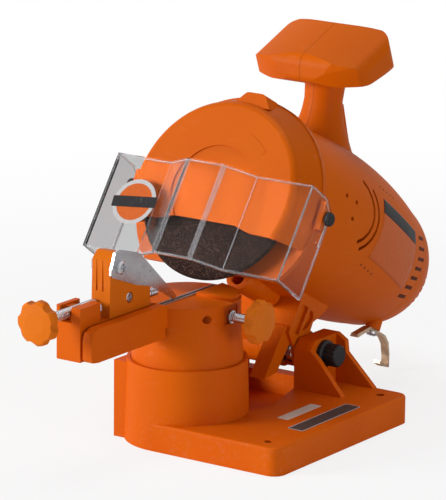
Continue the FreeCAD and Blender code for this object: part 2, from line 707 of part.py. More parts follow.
STOP_SCREW_END = D.block_front - 9
stop_screw = Piece("stop_screw", along_y(VISE_FRAME, -D.stop_screw_left, 0,
                                         D.stop_screw_height))
stop_screw.revolve(stop_screw.sketch("XZ").outline([
    (0, STOP_SCREW_END), (D.screw_radius - 0.8, STOP_SCREW_END),
    (D.screw_radius - 0.8, D.block_front), (D.screw_radius, D.block_front + 0.6),
    (D.screw_radius, D.stop_knob_start + 6), (0, D.stop_knob_start + 6)]))
lobed_knob("stop_knob", along_y(VISE_FRAME, -D.stop_screw_left, -D.stop_knob_start,
                                D.stop_screw_height))

# --------------------------------------------------------------------------------------
# Chain stop
# --------------------------------------------------------------------------------------
BLOCK_RIGHT = -D.pawl_thickness / 2 - 0.1
BLOCK_LEFT = BLOCK_RIGHT - D.block_width
BLOCK_BOTTOM = D.rail_top
BLOCK_REAR = D.block_length - D.block_front
stop_block = Piece("stop_block", VISE_FRAME)
stop_block.pad(stop_block.sketch("YZ", BLOCK_LEFT).outline([
    (-D.block_front, BLOCK_BOTTOM), (BLOCK_REAR, BLOCK_BOTTOM),
    (BLOCK_REAR, BLOCK_BOTTOM + D.block_height - 3),
    (BLOCK_REAR - 2, BLOCK_BOTTOM + D.block_height),
    (D.post_length - D.block_front, BLOCK_BOTTOM + 22),
    (D.post_length - D.block_front, BLOCK_BOTTOM + D.post_height - 6),
    (D.post_length - D.block_front - 5, BLOCK_BOTTOM + D.post_height),
    (6 - D.block_front, BLOCK_BOTTOM + D.post_height + 0.6),
    (1 - D.block_front, BLOCK_BOTTOM + D.post_height - 4)]), D.block_width)
GUIDE_RIGHT = -HALF_SLOT - D.rail_thickness - 0.3
stop_block.pad(stop_block.sketch("XY", BLOCK_BOTTOM).box(
    BLOCK_LEFT, GUIDE_RIGHT, -D.block_front, BLOCK_REAR), 10, reverse=True)
grooves = stop_block.sketch("XZ", D.block_front)
for middle in (-10.6, -6.2):
    grooves.box(middle - 0.7, middle + 0.7, BLOCK_BOTTOM + 16, BLOCK_BOTTOM + 35)
stop_block.pocket(grooves, 1.2)
stop_block.pocket(stop_block.sketch("XZ", D.block_front).circle(
    -D.stop_screw_left, D.stop_screw_height, D.screw_radius - 0.75), 9.5)
stop_block.pocket(stop_block.sketch("YZ", 5).circle(
    -D.pawl_pin_back, D.pawl_pin_height, D.pawl_pin_radius + 0.03), 40)
stop_block.pocket(stop_block.sketch("YZ", BLOCK_RIGHT).circle(-58.7, 100.3, 1.6), 10)
stop_block.pocket(stop_block.sketch("YZ", BLOCK_RIGHT).circle(-58.7, 100.3, 3.4), 1.6)

PAWL_PIN = along_x(VISE_FRAME, D.pawl_thickness / 2 + 0.1, -D.pawl_pin_back,
                   D.pawl_pin_height)
kept_screw("pawl_pin", PAWL_PIN, D.pawl_pin_radius, D.block_width + 6, 4.2, 2.6)
NUT_FRAME = along_x(VISE_FRAME, BLOCK_LEFT - 3.2, -D.pawl_pin_back, D.pawl_pin_height)
pawl_nut = Piece("pawl_nut", NUT_FRAME)
pawl_nut.pad(pawl_nut.sketch("XY").outline([(4.6 * c, 4.6 * k) for c, k in HEX]).circle(
    0, 0, D.pawl_pin_radius + 0.02), 3.2)
kept_screw("stop_block_screw", along_x(VISE_FRAME, BLOCK_RIGHT - 1.6, -58.7, 100.3),
           1.55, 7.5, 3.1, 1.5)
kept_screw("stop_pin", upright(VISE_FRAME, -5, -85, 97.5), 1.8, 15, 2.6, 4.0)

pawl = Piece("stop_pawl", VISE_FRAME)
pawl.pad(pawl.sketch("YZ", -D.pawl_thickness / 2).outline([
    (-78.2, 116.4), (-76, 115.6), (-55, 107.5), (-38.2, 103), (-15.2, 89.9), (-13.2, 90.6),
    (-13.6, 92.6), (-49.6, 125.2), (-53, 127), (-71, 132.4), (-75.5, 131), (-79.4, 121.5),
    (-79.8, 118)]), D.pawl_thickness)
pawl.pocket(pawl.sketch("YZ", 5).circle(
    -D.pawl_pin_back, D.pawl_pin_height, D.pawl_pin_radius + D.running_gap), 10)
# the stud that the return spring presses on
pawl.pad(pawl.sketch("YZ", -D.pawl_thickness / 2).circle(-25.0, 98.3, 1.6), 5,
         reverse=True)


def coil(label, frame, radius, wire, pitch, turns, keep=True):
    """A coil about the frame's own Z axis, its wire and its turns drawn with flat sides."""
    steps = round(10 * turns)
    angles = [2 * math.pi * turns * i / steps for i in range(steps + 1)]
    path = doc.addObject("Part::Polygon", f"{label}_path")
    path.Nodes = [Vector(radius * math.cos(a), radius * math.sin(a),
                         pitch * a / (2 * math.pi)) for a in angles]
    path.Close = False
    section = doc.addObject("Part::RegularPolygon", f"{label}_wire")
    section.Polygon = 8
    bind(section, "Circumradius", wire)
    section.Placement = Placement(Vector(radius, 0, 0), Rotation(X_AXIS, 90))
    spring = doc.addObject("Part::Sweep", label)
    spring.Sections = [section]
    spring.Spine = (path, [f"Edge{i + 1}" for i in range(steps)])
    spring.Solid = True
    spring.Frenet = False
    spring.Transition = "Right corner"
    spring.Label = label
    spring.Placement = frame
    if keep:
        PARTS.append(spring)
    return spring


coil("pawl_spring", along_y(VISE_FRAME, -4.4, -27.2, 97.2), 2.2, 0.5, 1.82, 5.6)

# --------------------------------------------------------------------------------------
# Head shell, drawn about the spindle: +Z to the disc, +Y away from the hinge
# --------------------------------------------------------------------------------------


def side(points):
    """Turn points given as (back, up) from the hinge into the spindle frame's Y and Z."""
    return [(up - D.spindle_height, -Size.of(back)) for back, up in points]


def rounded(corners):
    """Outline points, with an arc in place of each corner that has a radius as third."""
    points = []
    for i, (x, y, radius) in enumerate(corners):
        here = Vector(float(x), float(y), 0)
        before = Vector(*[float(v) for v in corners[i - 1][:2]], 0) - here
        after = Vector(*[float(v) for v in corners[(i + 1) % len(corners)][:2]], 0) - here
        reach = radius / math.tan(before.getAngle(after) / 2)
        first = here + before.normalize() * reach
        last = here + after.normalize() * reach
        turn = math.copysign(radius, after.cross(before).z)
        points += [(first.x, first.y, turn), (last.x, last.y)]
    return points


def barrel(piece, wall, shorten):
    """The crowned barrel of the head, or its hollow when a wall is given."""
    front = D.shell_front - shorten
    rear = -D.cap_back + shorten
    profile = [(0, front), (D.nose_radius - wall, front, -D.crown_radius),
               (D.tail_radius - wall, -D.tail_back, -60),
               (D.tail_radius - 11 - wall, 12 - D.cap_back, -18), (D.cap_radius - wall, rear),
               (0, rear)]
    if wall:
        middle = (D.nose_radius + D.tail_radius) / 2 + 9.4 - wall
        profile = [(0, front), (D.nose_radius - wall, front), (middle, 4)]
        profile += [(D.tail_radius - wall, -D.tail_back),
                    (D.tail_radius - 14 - wall, 15 - D.cap_back)]
        profile += [(D.cap_radius - wall, rear), (0, rear)]
    piece.revolve(piece.sketch("XZ", -D.body_lift).outline(profile))


ARM = [(-23.7, 4.6), (-20.5, 27), (-26, 50), (40, 72), (48, 59), (16.5, 40), (9.3, 26.5),
       (0, 18), (-1, 0), (-12, -3)]
ARM_CORE = [(-20, 5), (-17, 27), (-20, 50), (30, 62), (12.5, 41.5), (5.5, 29), (-4, 20),
            (-5, 13.5), (-14, 13)]
HANDLE_FRAME = HEAD_FRAME * Placement(
    Vector(0, -D.handle_nose_back.value, D.handle_nose_up.value),
    Rotation(X_AXIS, D.handle_angle.value))

# the neck leans forward; its own +Y looks back
NECK_FRAME = HEAD_FRAME * Placement(
    Vector(0, -D.neck_back.value, D.neck_up.value), Rotation(X_AXIS, D.neck_lean.value))

form = Piece("head_form", SPINDLE_FRAME, keep=False)
barrel(form, 0, 0)
form.pad(form.sketch("YZ").outline(side(ARM)), D.arm_half_width * 2, middle=True)
form.pad(form.sketch("YZ").circle(-D.spindle_height, 0, D.hinge_barrel_radius),
         D.arm_half_width * 2, middle=True)
# the foot under the arm that the spring pushes up
form.pad(form.sketch("YZ", 13).outline(side([
    (-32, -28.4), (-20.5, -20.8), (-15.5, 0), (-20, 10), (-26, 8)])), 11)

# T handle: bowed nose, arched top, and every long edge well rounded
handle = Piece("handle_form", HANDLE_FRAME, keep=False)
HALF = D.handle_half_width
DEEP = D.handle_depth
THICK = D.handle_thickness
handle.pad(handle.sketch("XY", 3).outline([
    (5.5 - HALF, 3.6, 74), (HALF - 5.5, 3.6, 9), (HALF, 12), (HALF, DEEP - 15, 16),
    (HALF - 12, DEEP - 2), (12, DEEP), (-12, DEEP), (12 - HALF, DEEP - 2, 16),
    (-HALF, DEEP - 15), (-HALF, 12, 9)]), THICK + 5, reverse=True)
handle_side = handle.sketch("YZ")
handle_side.box(-30, 70, -60, 20)
handle_side.outline(rounded([
    (0, 0, 9), (DEEP - 1.5, 1, 11), (DEEP, -THICK, 12), (-7.2, -17.2, 5.5)]))
handle.pocket(handle_side, 200, middle=True)
handle_front = handle.sketch("XZ")
handle_front.box(-90, 90, -60, 30)
handle_front.outline([
    (-HALF + 6, -5.5, -118), (HALF - 6, -5.5, -9), (HALF, -12), (HALF, 8 - THICK, -9),
    (HALF - 7, -THICK - 1), (7 - HALF, -THICK - 1, -9), (-HALF, 8 - THICK), (-HALF, -12, -9)])
handle.pocket(handle_front, 300, middle=True)
# turned form about the length of the handle, which rounds its corners and its ends
handle_round = Piece("handle_round", HANDLE_FRAME * Placement(
    Vector(0, 0.49 * DEEP.value, -0.5 * THICK.value), Rotation(Y_AXIS, 90)), keep=False)
handle_round.revolve(handle_round.sketch("XZ").outline([
    (0, -HALF), (16, -HALF, 7), (23, 6 - HALF, 90), (23, HALF - 6, 7), (16, HALF),
    (0, HALF)]))
boolean("Common", "handle_rounded", (handle.body, handle_round.body))
# neck with a flared root and top, and the rear rib that carries the switch
neck = Piece("neck_form", NECK_FRAME, keep=False)
neck.revolve(neck.sketch("XZ").outline([
    (0, -27), (34, -27), (21.5, -12), (17, -1, -60), (D.neck_radius + 0.8, 12),
    (D.neck_radius, 19), (D.neck_radius + 0.4, 25, -12), (17.5, 35), (12, 44), (0, 44)]))
neck.pad(neck.sketch("YZ").outline([
    (0, -22), (31, -22), (24.5, -10), (19.5, 0), (14.8, 10), (11.5, 17), (0, 17)]), 16,
    middle=True)
boolean("MultiFuse", "head_outer", [form.body, doc.handle_rounded, neck.body])

hollow = Piece("head_hollow", SPINDLE_FRAME, keep=False)
barrel(hollow, D.shell_wall, 6)
hollow.pad(hollow.sketch("YZ").outline(side(ARM_CORE)), 44, middle=True)
grip_core = Piece("handle_core", HANDLE_FRAME, keep=False)
grip_core.pad(grip_core.sketch("XY", -8).outline([
    (12 - HALF, 7), (HALF - 12, 7), (HALF - 12, DEEP - 13), (12 - HALF, DEEP - 13)]),
    9, reverse=True)

# seats for the motor and bosses for the screws, trimmed to the outer form
SHELL_SCREWS = [(-56, 31), (-66, 121.5), (50, 123), (74, 40), (-36, 126)]
seats = Piece("head_seats", SPINDLE_FRAME, keep=False)


def web(back, thickness, radius, bore):
    """A ring-shaped wall across the hollow with a round seat in the middle."""
    seats.pad(seats.sketch("XY", -Size.of(back)).circle(0, D.body_lift, radius).circle(
        0, 0, bore), thickness)


SEAT_GAP = D.running_gap
web(6, 3.5, D.nose_radius + 9, D.stator_radius + SEAT_GAP)
web(31, 3.5, D.nose_radius + 9, D.stator_radius + SEAT_GAP)
web(60, 3, D.tail_radius + 8, 14)
web(D.rear_bearing_back + 7, 7, D.tail_radius - 4.8, D.bearing_radius + SEAT_GAP)
seats.pad(seats.sketch("XY", -D.rear_bearing_back - 9).circle(0, 0, 16).circle(0, 0, 6), 2)
seats.pad(seats.sketch("XY", D.front_bearing_reach).circle(0, 0, 16).circle(
    0, 0, D.bearing_radius + SEAT_GAP), D.bearing_width + 1)
seats.pad(seats.sketch("XY", D.front_bearing_reach + D.bearing_width).circle(
    0, 0, 16).circle(0, 0, 7.5), D.shell_front - D.front_bearing_reach - 9)
for back, up in SHELL_SCREWS:
    seats.pad(seats.sketch("YZ").circle(up - D.spindle_height, -Size.of(back), 5), 20,
              middle=True)

# tube under the nose for the depth screw, and the boss of the hook
lugs = Piece("head_lugs", SPINDLE_FRAME, keep=False)
lugs.pad(lugs.sketch("XY", 22).circle(4, 26 - D.spindle_height, 8), 40)
HOOK_RIGHT = 18
HOOK_BACK = 84
HOOK_TOP = 35.6
lugs.pad(lugs.sketch("XZ", D.spindle_height - HOOK_TOP).circle(
    HOOK_RIGHT, -HOOK_BACK, 5), 13, reverse=True)
# flat seat of the cord gland
lugs.pad(lugs.sketch("YZ", -44).circle(66 - D.spindle_height, -88, 9.6), 9)

openings = Piece("head_openings", SPINDLE_FRAME, keep=False)
openings.pad(openings.sketch("XY", D.shell_front - 12).circle(0, 0, 7.5), 20)
# opening for the switch button
switch_opening = Piece("switch_opening", NECK_FRAME, keep=False)
switch_opening.pad(switch_opening.sketch("XY", -8.4).box(-4.8, 4.8, 3, 34), 25.3)
# hinge bore and the chamber of the torsion spring
openings.pad(openings.sketch("YZ").circle(
    -D.spindle_height, 0, D.bolt_radius + D.running_gap), 80, middle=True)
openings.pad(openings.sketch("YZ", 12.5).circle(-D.spindle_height, 0, 10), 12)
openings.pad(openings.sketch("YZ", 12.5).outline(side([
    (-13, -20), (-15.5, -3), (-8, 4), (0, -4), (14, -16), (8, -20)])), 12)
# two open ribs low on each cheek
for face in (-1, 1):
    ribs = openings.sketch("YZ", (D.arm_half_width - 2.5) * face)
    ribs.outline(side([(-18.6, 6), (-12.6, 6), (-9.5, 25), (-16.4, 25)]))
    ribs.outline(side([(-9.4, 9.5), (-4.6, 13), (-1, 20), (-3.2, 24), (-6.6, 24)]))
    openings.pad(ribs, 10, reverse=face < 0)
openings.pad(openings.sketch("XY", 47).circle(4, 26 - D.spindle_height, 4.6), 20)
openings.pad(openings.sketch("XY", 22).circle(4, 26 - D.spindle_height, 2.3), 40)


def ring_sector(centre, inner, outer, start, end, steps):
    """Corner points of a ring sector, centre and angles in the side view."""
    angles = [math.radians(start + (end - start) * i / steps) for i in range(steps + 1)]
    points = [(centre[0] + outer * math.cos(a), centre[1] + outer * math.sin(a))
              for a in angles]
    points += [(centre[0] + inner * math.cos(a), centre[1] + inner * math.sin(a))
               for a in reversed(angles)]
    return side(points)


# curved air slots and three small vents on each cheek, then the bands of tail slots
for face in (-1, 1):
    slots = openings.sketch("YZ", 30 * face)
    slots.outline(ring_sector((-29, 89), 21, 23.2, -62, 62, 8))
    slots.outline(ring_sector((-28, 89), 26, 28.2, -58, 40, 7))
    for back, up in ((-40, 93), (-29, 92), (-31, 81)):
        slots.circle(up - D.spindle_height, -Size.of(back), 1.4)
    openings.pad(slots, 34, reverse=face < 0)
TAIL_SLOT_LENGTH = 19.5
TAIL_SLOT = [(24.5, -1.1), (60, -1.6), (60, 1.6), (24.5, 1.1)]


def spun(points, degrees):
    turn = math.radians(degrees)
    return [(x * math.cos(turn) - y * math.sin(turn), x * math.sin(turn) + y * math.cos(turn))
            for x, y in points]


for start in (-30, 150):
    tail = openings.sketch("XY", -D.cap_back - 2)
    slot = openings.pad(tail.outline(spun(TAIL_SLOT, start)), TAIL_SLOT_LENGTH)
    fan = openings.polar(slot, 9)
    fan.Angle = 66.0
# bore of the hook screw and hole of the cord gland
openings.pad(openings.sketch("XZ", D.spindle_height - HOOK_TOP).circle(
    HOOK_RIGHT, -HOOK_BACK, 1.6), 10, reverse=True)
GUARD_SCREWS = [(-32, 22), (32, 22), (-30, -22), (30, -22)]
pilots = openings.sketch("XY", D.shell_front + 1)
for x, y in GUARD_SCREWS:
    pilots.circle(x, y, 1.85)
openings.pad(pilots, 8, reverse=True)
GLAND_BACK = 88
GLAND_UP = 66
openings.pad(openings.sketch("YZ", -25).circle(
    GLAND_UP - D.spindle_height, -GLAND_BACK, 6.05), 40, reverse=True)
# holes and counterbores of the housing screws, all entered from the left
for start, radius in ((7, D.shell_screw_radius), (-7, 3.6)):
    holes = openings.sketch("YZ", start)
    for back, up in SHELL_SCREWS:
        holes.circle(up - D.spindle_height, -Size.of(back), radius)
    openings.pad(holes, 60, reverse=True)

boolean("Common", "seats_trimmed", (seats.body, form.body))
neck_core = Piece("neck_core", NECK_FRAME, keep=False)
neck_core.pad(neck_core.sketch("XY", -24).box(-6.6, 6.6, -8.6, 4.4), 64)
boolean("MultiFuse", "head_inner", [hollow.body, grip_core.body, neck_core.body])
boolean("Cut", "shell_hollowed", (doc.head_outer, doc.head_inner))
boolean("MultiFuse", "shell_fitted",
        [doc.shell_hollowed, doc.seats_trimmed, lugs.body])
boolean("MultiFuse", "all_openings", [openings.body, switch_opening.body])
boolean("Cut", "shell", (doc.shell_fitted, doc.all_openings))


def half_space(label, side_sign):
    box = doc.addObject("Part::Box", label)
    box.Length, box.Width, box.Height = 120, 420, 420
    corner = Vector(0 if side_sign > 0 else -120, -210, -210)
    box.Placement = SPINDLE_FRAME * Placement(corner, Rotation())
    return box


boolean("Common", "right_housing", (doc.shell, half_space("right_side", 1)), keep=True)
boolean("Common", "left_housing", (doc.shell, half_space("left_side", -1)), keep=True)
group("housing_screws", [
    cap_screw(f"housing_screw_{i + 1}", SPINDLE_FRAME * Placement(
        Vector(-7, up - D.spindle_height.value, -back), Rotation(Y_AXIS, -90)),
        1.7, 13, 3.3, 2.4) for i, (back, up) in enumerate(SHELL_SCREWS)])

# --------------------------------------------------------------------------------------
# Disc guard, its back plate and the clear shield
# --------------------------------------------------------------------------------------
GUARD_BACK = D.guard_back_face
guard = Piece("disc_guard", SPINDLE_FRAME)
guard.revolve(guard.sketch("XZ").outline([
    (0, D.guard_reach), (D.guard_radius - 4.5, D.guard_reach, -6),
    (D.guard_radius, D.guard_reach - 5), (D.guard_rim_radius, GUARD_BACK),
    (D.guard_rim_radius - D.guard_wall, GUARD_BACK),
    (D.guard_radius - D.guard_wall, D.guard_reach - 5.5),
    (D.guard_radius - 5, D.guard_reach - D.guard_wall),
    (0, D.guard_reach - D.guard_wall)]))
guard.pocket(guard.sketch("XY", D.guard_reach).circle(0, 0, D.dish_radius), D.dish_depth)
guard.pocket(guard.sketch("XY", 130).outline([
    (-80, -100), (80, -100), (80, -D.guard_chord - 1.5), (34, -D.guard_chord),
    (22, -D.guard_chord + 3.5), (-22, -D.guard_chord + 3.5), (-34, -D.guard_chord),
    (-80, -D.guard_chord - 1.5)]), 80)
# sighting bump on top of the rim
bump_top = D.guard_rim_radius + 0.4
guard.pad(guard.sketch("XY", GUARD_BACK).outline(rounded([
    (-6, bump_top - 8, 0.5), (20.5, bump_top - 9, 0.5), (14.2, bump_top, 4.2),
    (1.2, bump_top, 4.2)])), D.guard_reach - GUARD_BACK - 4.6)

back_plate = Piece("guard_back", SPINDLE_FRAME)
back_plate.pad(back_plate.sketch("XY", D.shell_front).circle(0, 0, D.back_radius),
               GUARD_BACK - D.shell_front)
back_plate.pocket(back_plate.sketch("XY", 130).box(-80, 80, -100, -D.back_chord), 80)
LUG_MIDDLE = D.shield_screw_up - D.spindle_height + 1
LUG_BACK = D.shield_screw_back
for face in (-1, 1):
    arm = back_plate.sketch("XY", D.shell_front)
    arm.box(50 * face, D.lug_reach * face, LUG_MIDDLE - D.lug_height / 2,
            LUG_MIDDLE + D.lug_height / 2)
    back_plate.pad(arm, GUARD_BACK - D.shell_front)
    # a thicker end for the shield screw
    end = back_plate.sketch("XY", D.shell_front - 1)
    end.box((D.guard_rim_radius + 1.2) * face, D.lug_reach * face,
            LUG_MIDDLE - D.lug_height / 2, LUG_MIDDLE + D.lug_height / 2)
    back_plate.pad(end, 8)
back_plate.pocket(back_plate.sketch("YZ", 90).circle(
    D.shield_screw_up - D.spindle_height, D.shield_screw_back, 2.05), 40)
back_plate.pocket(back_plate.sketch("YZ", -90).circle(
    D.shield_screw_up - D.spindle_height, D.shield_screw_back, 2.05), 40, reverse=True)
back_plate.pocket(back_plate.sketch("XY", 130).circle(0, 0, 13), 80)
# screws that hold the guard and the back plate to the barrel
plate_holes = back_plate.sketch("XY", 130)
for x, y in GUARD_SCREWS:
    plate_holes.circle(x, y, 2.0)
back_plate.pocket(plate_holes, 80)
group("guard_screws", [
    cap_screw(f"guard_screw_{i + 1}", SPINDLE_FRAME * Placement(
        Vector(x, y, GUARD_BACK.value), Rotation()), 1.8, 9.5, 3.4, 2.2)
    for i, (x, y) in enumerate(GUARD_SCREWS)])

SHIELD_FRAME = HEAD_FRAME * Placement(
    Vector(0, -D.shield_screw_back.value, D.shield_screw_up.value),
    Rotation(X_AXIS, -D.shield_lean.value))
OUT = D.shield_half_width
FRONT = D.shield_reach
SKIN = D.shield_thickness
shield = Piece("shield", SHIELD_FRAME)
shield.pad(shield.sketch("XY", -D.shield_drop).outline([
    (-OUT, D.shield_wing), (-OUT, -FRONT), (-32, -FRONT), (-14, -FRONT - D.shield_bulge),
    (13, -FRONT - D.shield_bulge), (32, -FRONT), (OUT, -FRONT), (OUT, D.shield_wing),
    (OUT - SKIN, D.shield_wing), (OUT - SKIN, SKIN - FRONT), (31.3, SKIN - FRONT),
    (12.3, SKIN - FRONT - D.shield_bulge), (-13.3, SKIN - FRONT - D.shield_bulge),
    (-31.3, SKIN - FRONT), (SKIN - OUT, SKIN - FRONT), (SKIN - OUT, D.shield_wing)]),
    D.shield_drop + D.shield_rise)
# the rear upper corners of the wings are cut away, and each wing has a slot
shield.pocket(shield.sketch("YZ").outline([
    (-7, D.shield_rise + 1), (D.shield_wing + 1, D.shield_rise + 1),
    (D.shield_wing + 1, 3)]), 200, middle=True)
wing_slot = shield.sketch("YZ")
wing_slot.outline([(-2.3, 0.5, -2.35), (2.3, 0.5), (2.3, -D.shield_travel - 0.5, -2.35),
                   (-2.3, -D.shield_travel - 0.5)])
shield.pocket(wing_slot, 200, middle=True)


def thumb_screw(face):
    """A shield screw with a ribbed black thumb head outside the wing."""
    piece = Piece(f"shield_screw_{face + 2}", HEAD_FRAME * Placement(
        Vector((OUT.value + 0.2) * face, -D.shield_screw_back.value,
               D.shield_screw_up.value), Rotation(Y_AXIS, 90 * face)), keep=False)
    piece.revolve(piece.sketch("XZ").outline([
        (0, -6), (2, -6), (2, 0), (4.3, 0), (4.3, 2.2), (3.4, 3), (0, 3)]))
    rib = piece.pocket(piece.sketch("XY", 3).circle(4.9, 0, 0.9), 3)
    piece.polar(rib, 9)
    return piece.body


group("shield_screws", [thumb_screw(face) for face in (-1, 1)])

# --------------------------------------------------------------------------------------
# Rotor: shaft, armature, fan, flanges and disc
# --------------------------------------------------------------------------------------


def spindle_ring(label, back_end, outer_radius, length, inner=None):
    """A ring on the spindle from its rear end, given as a distance towards the disc."""
    return ring(label, SPINDLE_FRAME * Placement(Vector(0, 0, float(back_end)),
                                                 Rotation()),
                outer_radius, inner or D.shaft_radius + D.running_gap, length)


SHAFT_REAR = -D.rear_bearing_back - 7.5
NUT_FRONT = D.disc_reach + 4.4
shaft = Piece("motor_shaft", SPINDLE_FRAME)
shaft.pad(shaft.sketch("XY", SHAFT_REAR).circle(0, 0, D.shaft_radius),
          NUT_FRONT - SHAFT_REAR)
shaft.pad(shaft.sketch("XY", D.front_bearing_reach + D.bearing_width + 0.5).circle(
    0, 0, 5.5), D.disc_reach - D.disc_thickness - D.flange_thickness
    - D.front_bearing_reach - D.bearing_width - 0.5)
shaft.chamfer(0.8, lambda e: near(e.BoundBox.ZMin, NUT_FRONT) or
              near(e.BoundBox.ZMax, SHAFT_REAR))

FLANGE_REAR = D.disc_reach - D.disc_thickness - D.flange_thickness
flange = Piece("inner_flange", SPINDLE_FRAME)
flange.revolve(flange.sketch("XZ").outline([
    (D.shaft_radius + D.running_gap, FLANGE_REAR), (D.flange_radius - 4, FLANGE_REAR),
    (D.flange_radius, D.disc_reach - D.disc_thickness - 2),
    (D.flange_radius, D.disc_reach - D.disc_thickness),
    (D.disc_bore_radius - D.running_gap, D.disc_reach - D.disc_thickness),
    (D.disc_bore_radius - D.running_gap, D.disc_reach - 0.3),
    (D.shaft_radius + D.running_gap, D.disc_reach - 0.3)]))
disc = Piece("grinding_disc", SPINDLE_FRAME)
disc.revolve(disc.sketch("XZ").outline([
    (D.disc_bore_radius, D.disc_reach - D.disc_thickness),
    (D.disc_radius - 0.9, D.disc_reach - D.disc_thickness),
    (D.disc_radius, D.disc_reach - D.disc_thickness * 0.7),
    (D.disc_radius, D.disc_reach - D.disc_thickness * 0.3),
    (D.disc_radius - 0.9, D.disc_reach), (D.disc_bore_radius, D.disc_reach)]))
nut = Piece("flange_nut", upright(SPINDLE_FRAME, 0, 0, D.disc_reach))
nut.pad(nut.sketch("XY").circle(0, 0, D.flange_radius - 1), 1.4)
nut.pad(nut.sketch("XY").outline([(10 * c, 10 * k) for c, k in HEX]), 4.2)
nut.pocket(nut.sketch("XY").circle(0, 0, D.shaft_radius + D.running_gap), 9, reverse=True)

# the armature turns inside the field
core = Piece("armature_core", SPINDLE_FRAME)
core.pad(core.sketch("XY", -D.core_length).circle(0, 0, D.core_radius).circle(
    0, 0, D.shaft_radius + 0.03), D.core_length)
core_slot = core.pocket(core.sketch("XY", 1).box(D.core_radius - 4.5, D.core_radius + 2,
                                                 -1, 1), 60)
core.polar(core_slot, 12)
COMMUTATOR_REAR = -D.core_length - 9 - D.commutator_length
commutator = Piece("commutator", SPINDLE_FRAME)
commutator.pad(commutator.sketch("XY", COMMUTATOR_REAR).circle(
    0, 0, D.commutator_radius).circle(0, 0, D.shaft_radius + 0.03), D.commutator_length)
bar_gap = commutator.pocket(commutator.sketch("XY", 0).box(
    D.commutator_radius - 1.2, D.commutator_radius + 1, -0.3, 0.3), 90)
commutator.polar(bar_gap, 18)
FAN_REAR = 26
cooling_fan = Piece("cooling_fan", SPINDLE_FRAME)
cooling_fan.pad(cooling_fan.sketch("XY", FAN_REAR).circle(0, 0, D.fan_radius).circle(
    0, 0, D.shaft_radius + 0.03), 1.6)
cooling_fan.pad(cooling_fan.sketch("XY", FAN_REAR + 1.6).circle(0, 0, 8).circle(
    0, 0, D.shaft_radius + 0.03), D.fan_width - 1.6)
blade = cooling_fan.pad(cooling_fan.sketch("XY", FAN_REAR + 1.6).outline([
    (7, -0.8), (D.fan_radius - 0.5, 3.2), (D.fan_radius - 0.5, 4.8), (7, 0.8)]),
    D.fan_width - 1.6)
cooling_fan.polar(blade, 10)

# --------------------------------------------------------------------------------------
# Fixed motor parts
# --------------------------------------------------------------------------------------
FIELD_REAR = -D.core_length - 1
field = Piece("motor_field", SPINDLE_FRAME)
field.pad(field.sketch("XY", FIELD_REAR).circle(0, 0, D.stator_radius).circle(
    0, 0, D.stator_bore), D.stator_length)
window = field.pocket(field.sketch("XY", 5).box(12, 21.5, -7, 7), 60)
doc.recompute()
field.polar(window, 2)


def field_coil(turn):
    """One end-to-end winding that lies in a window of the field."""
    piece = Piece(f"field_coil_{turn}", SPINDLE_FRAME * Placement(
        Vector(0, 0, 0), Rotation(Z_AXIS, 180 * turn)), keep=False)
    piece.pad(piece.sketch("XY", FIELD_REAR - 5).box(16.6, 21.2, -6.7, 6.7),
              D.stator_length + 10)
    return piece.body


group("field_coils", [field_coil(turn) for turn in (0, 1)])
spindle_ring("front_bearing", D.front_bearing_reach, D.bearing_radius, D.bearing_width)
spindle_ring("rear_bearing", -D.rear_bearing_back - D.bearing_width, D.bearing_radius,
             D.bearing_width)
WEB_FACE = -57


def brush_parts(turn):
    """A brush holder and its carbon brush, on one side of the commutator."""
    frame = SPINDLE_FRAME * Placement(Vector(0, 0, 0), Rotation(Z_AXIS, 180 * turn))
    holder = Piece(f"brush_holder_{turn}", frame, keep=False)
    holder.pad(holder.sketch("XY", WEB_FACE).box(11.5, 27, -5, 5), 14)
    holder.pocket(holder.sketch("YZ", 0).box(-3.1, 3.1, WEB_FACE + 6.4, WEB_FACE + 11.6),
                  25.5, reverse=True)
    brush = Piece(f"carbon_brush_{turn}", frame, keep=False)
    brush.pad(brush.sketch("YZ", D.commutator_radius + 0.25).box(
        -3, 3, WEB_FACE + 6.5, WEB_FACE + 11.5), 12)
    return holder.body, brush.body


holders, brushes = zip(*[brush_parts(turn) for turn in (0, 1)])
group("brush_holders", list(holders))
group("carbon_brushes", list(brushes))

# --------------------------------------------------------------------------------------
# Switch, cord gland, hook, depth screw and spring
# --------------------------------------------------------------------------------------
switch = Piece("power_switch", NECK_FRAME)
switch.pad(switch.sketch("XY", -4).box(-6.6, 6.6, -8.6, 0.3), 22)
button = Piece("switch_button", NECK_FRAME)
button.pad(button.sketch("YZ").outline([
    (3, -8), (28.6, -8), (27.6, -6.6), (24, 0.6), (19.2, 10.4), (17, 15), (15.4, 16.6),
    (3, 16.6)]), 9, middle=True)
button.pad(button.sketch("XY", -9.4).box(-6.2, 6.2, 2.1, 3.9), 27.4)

gland = Piece("cord_gland", along_x(SPINDLE_FRAME, 0, GLAND_UP - D.spindle_height,
                                    -GLAND_BACK) * Placement(Vector(), Rotation()))
gland.revolve(gland.sketch("XZ").outline([
    (3.6, -56), (5.2, -56), (6.0, -46.6), (9.0, -46.6), (9.0, -44), (6.0, -44),
    (6.0, -32), (3.6, -32)]))

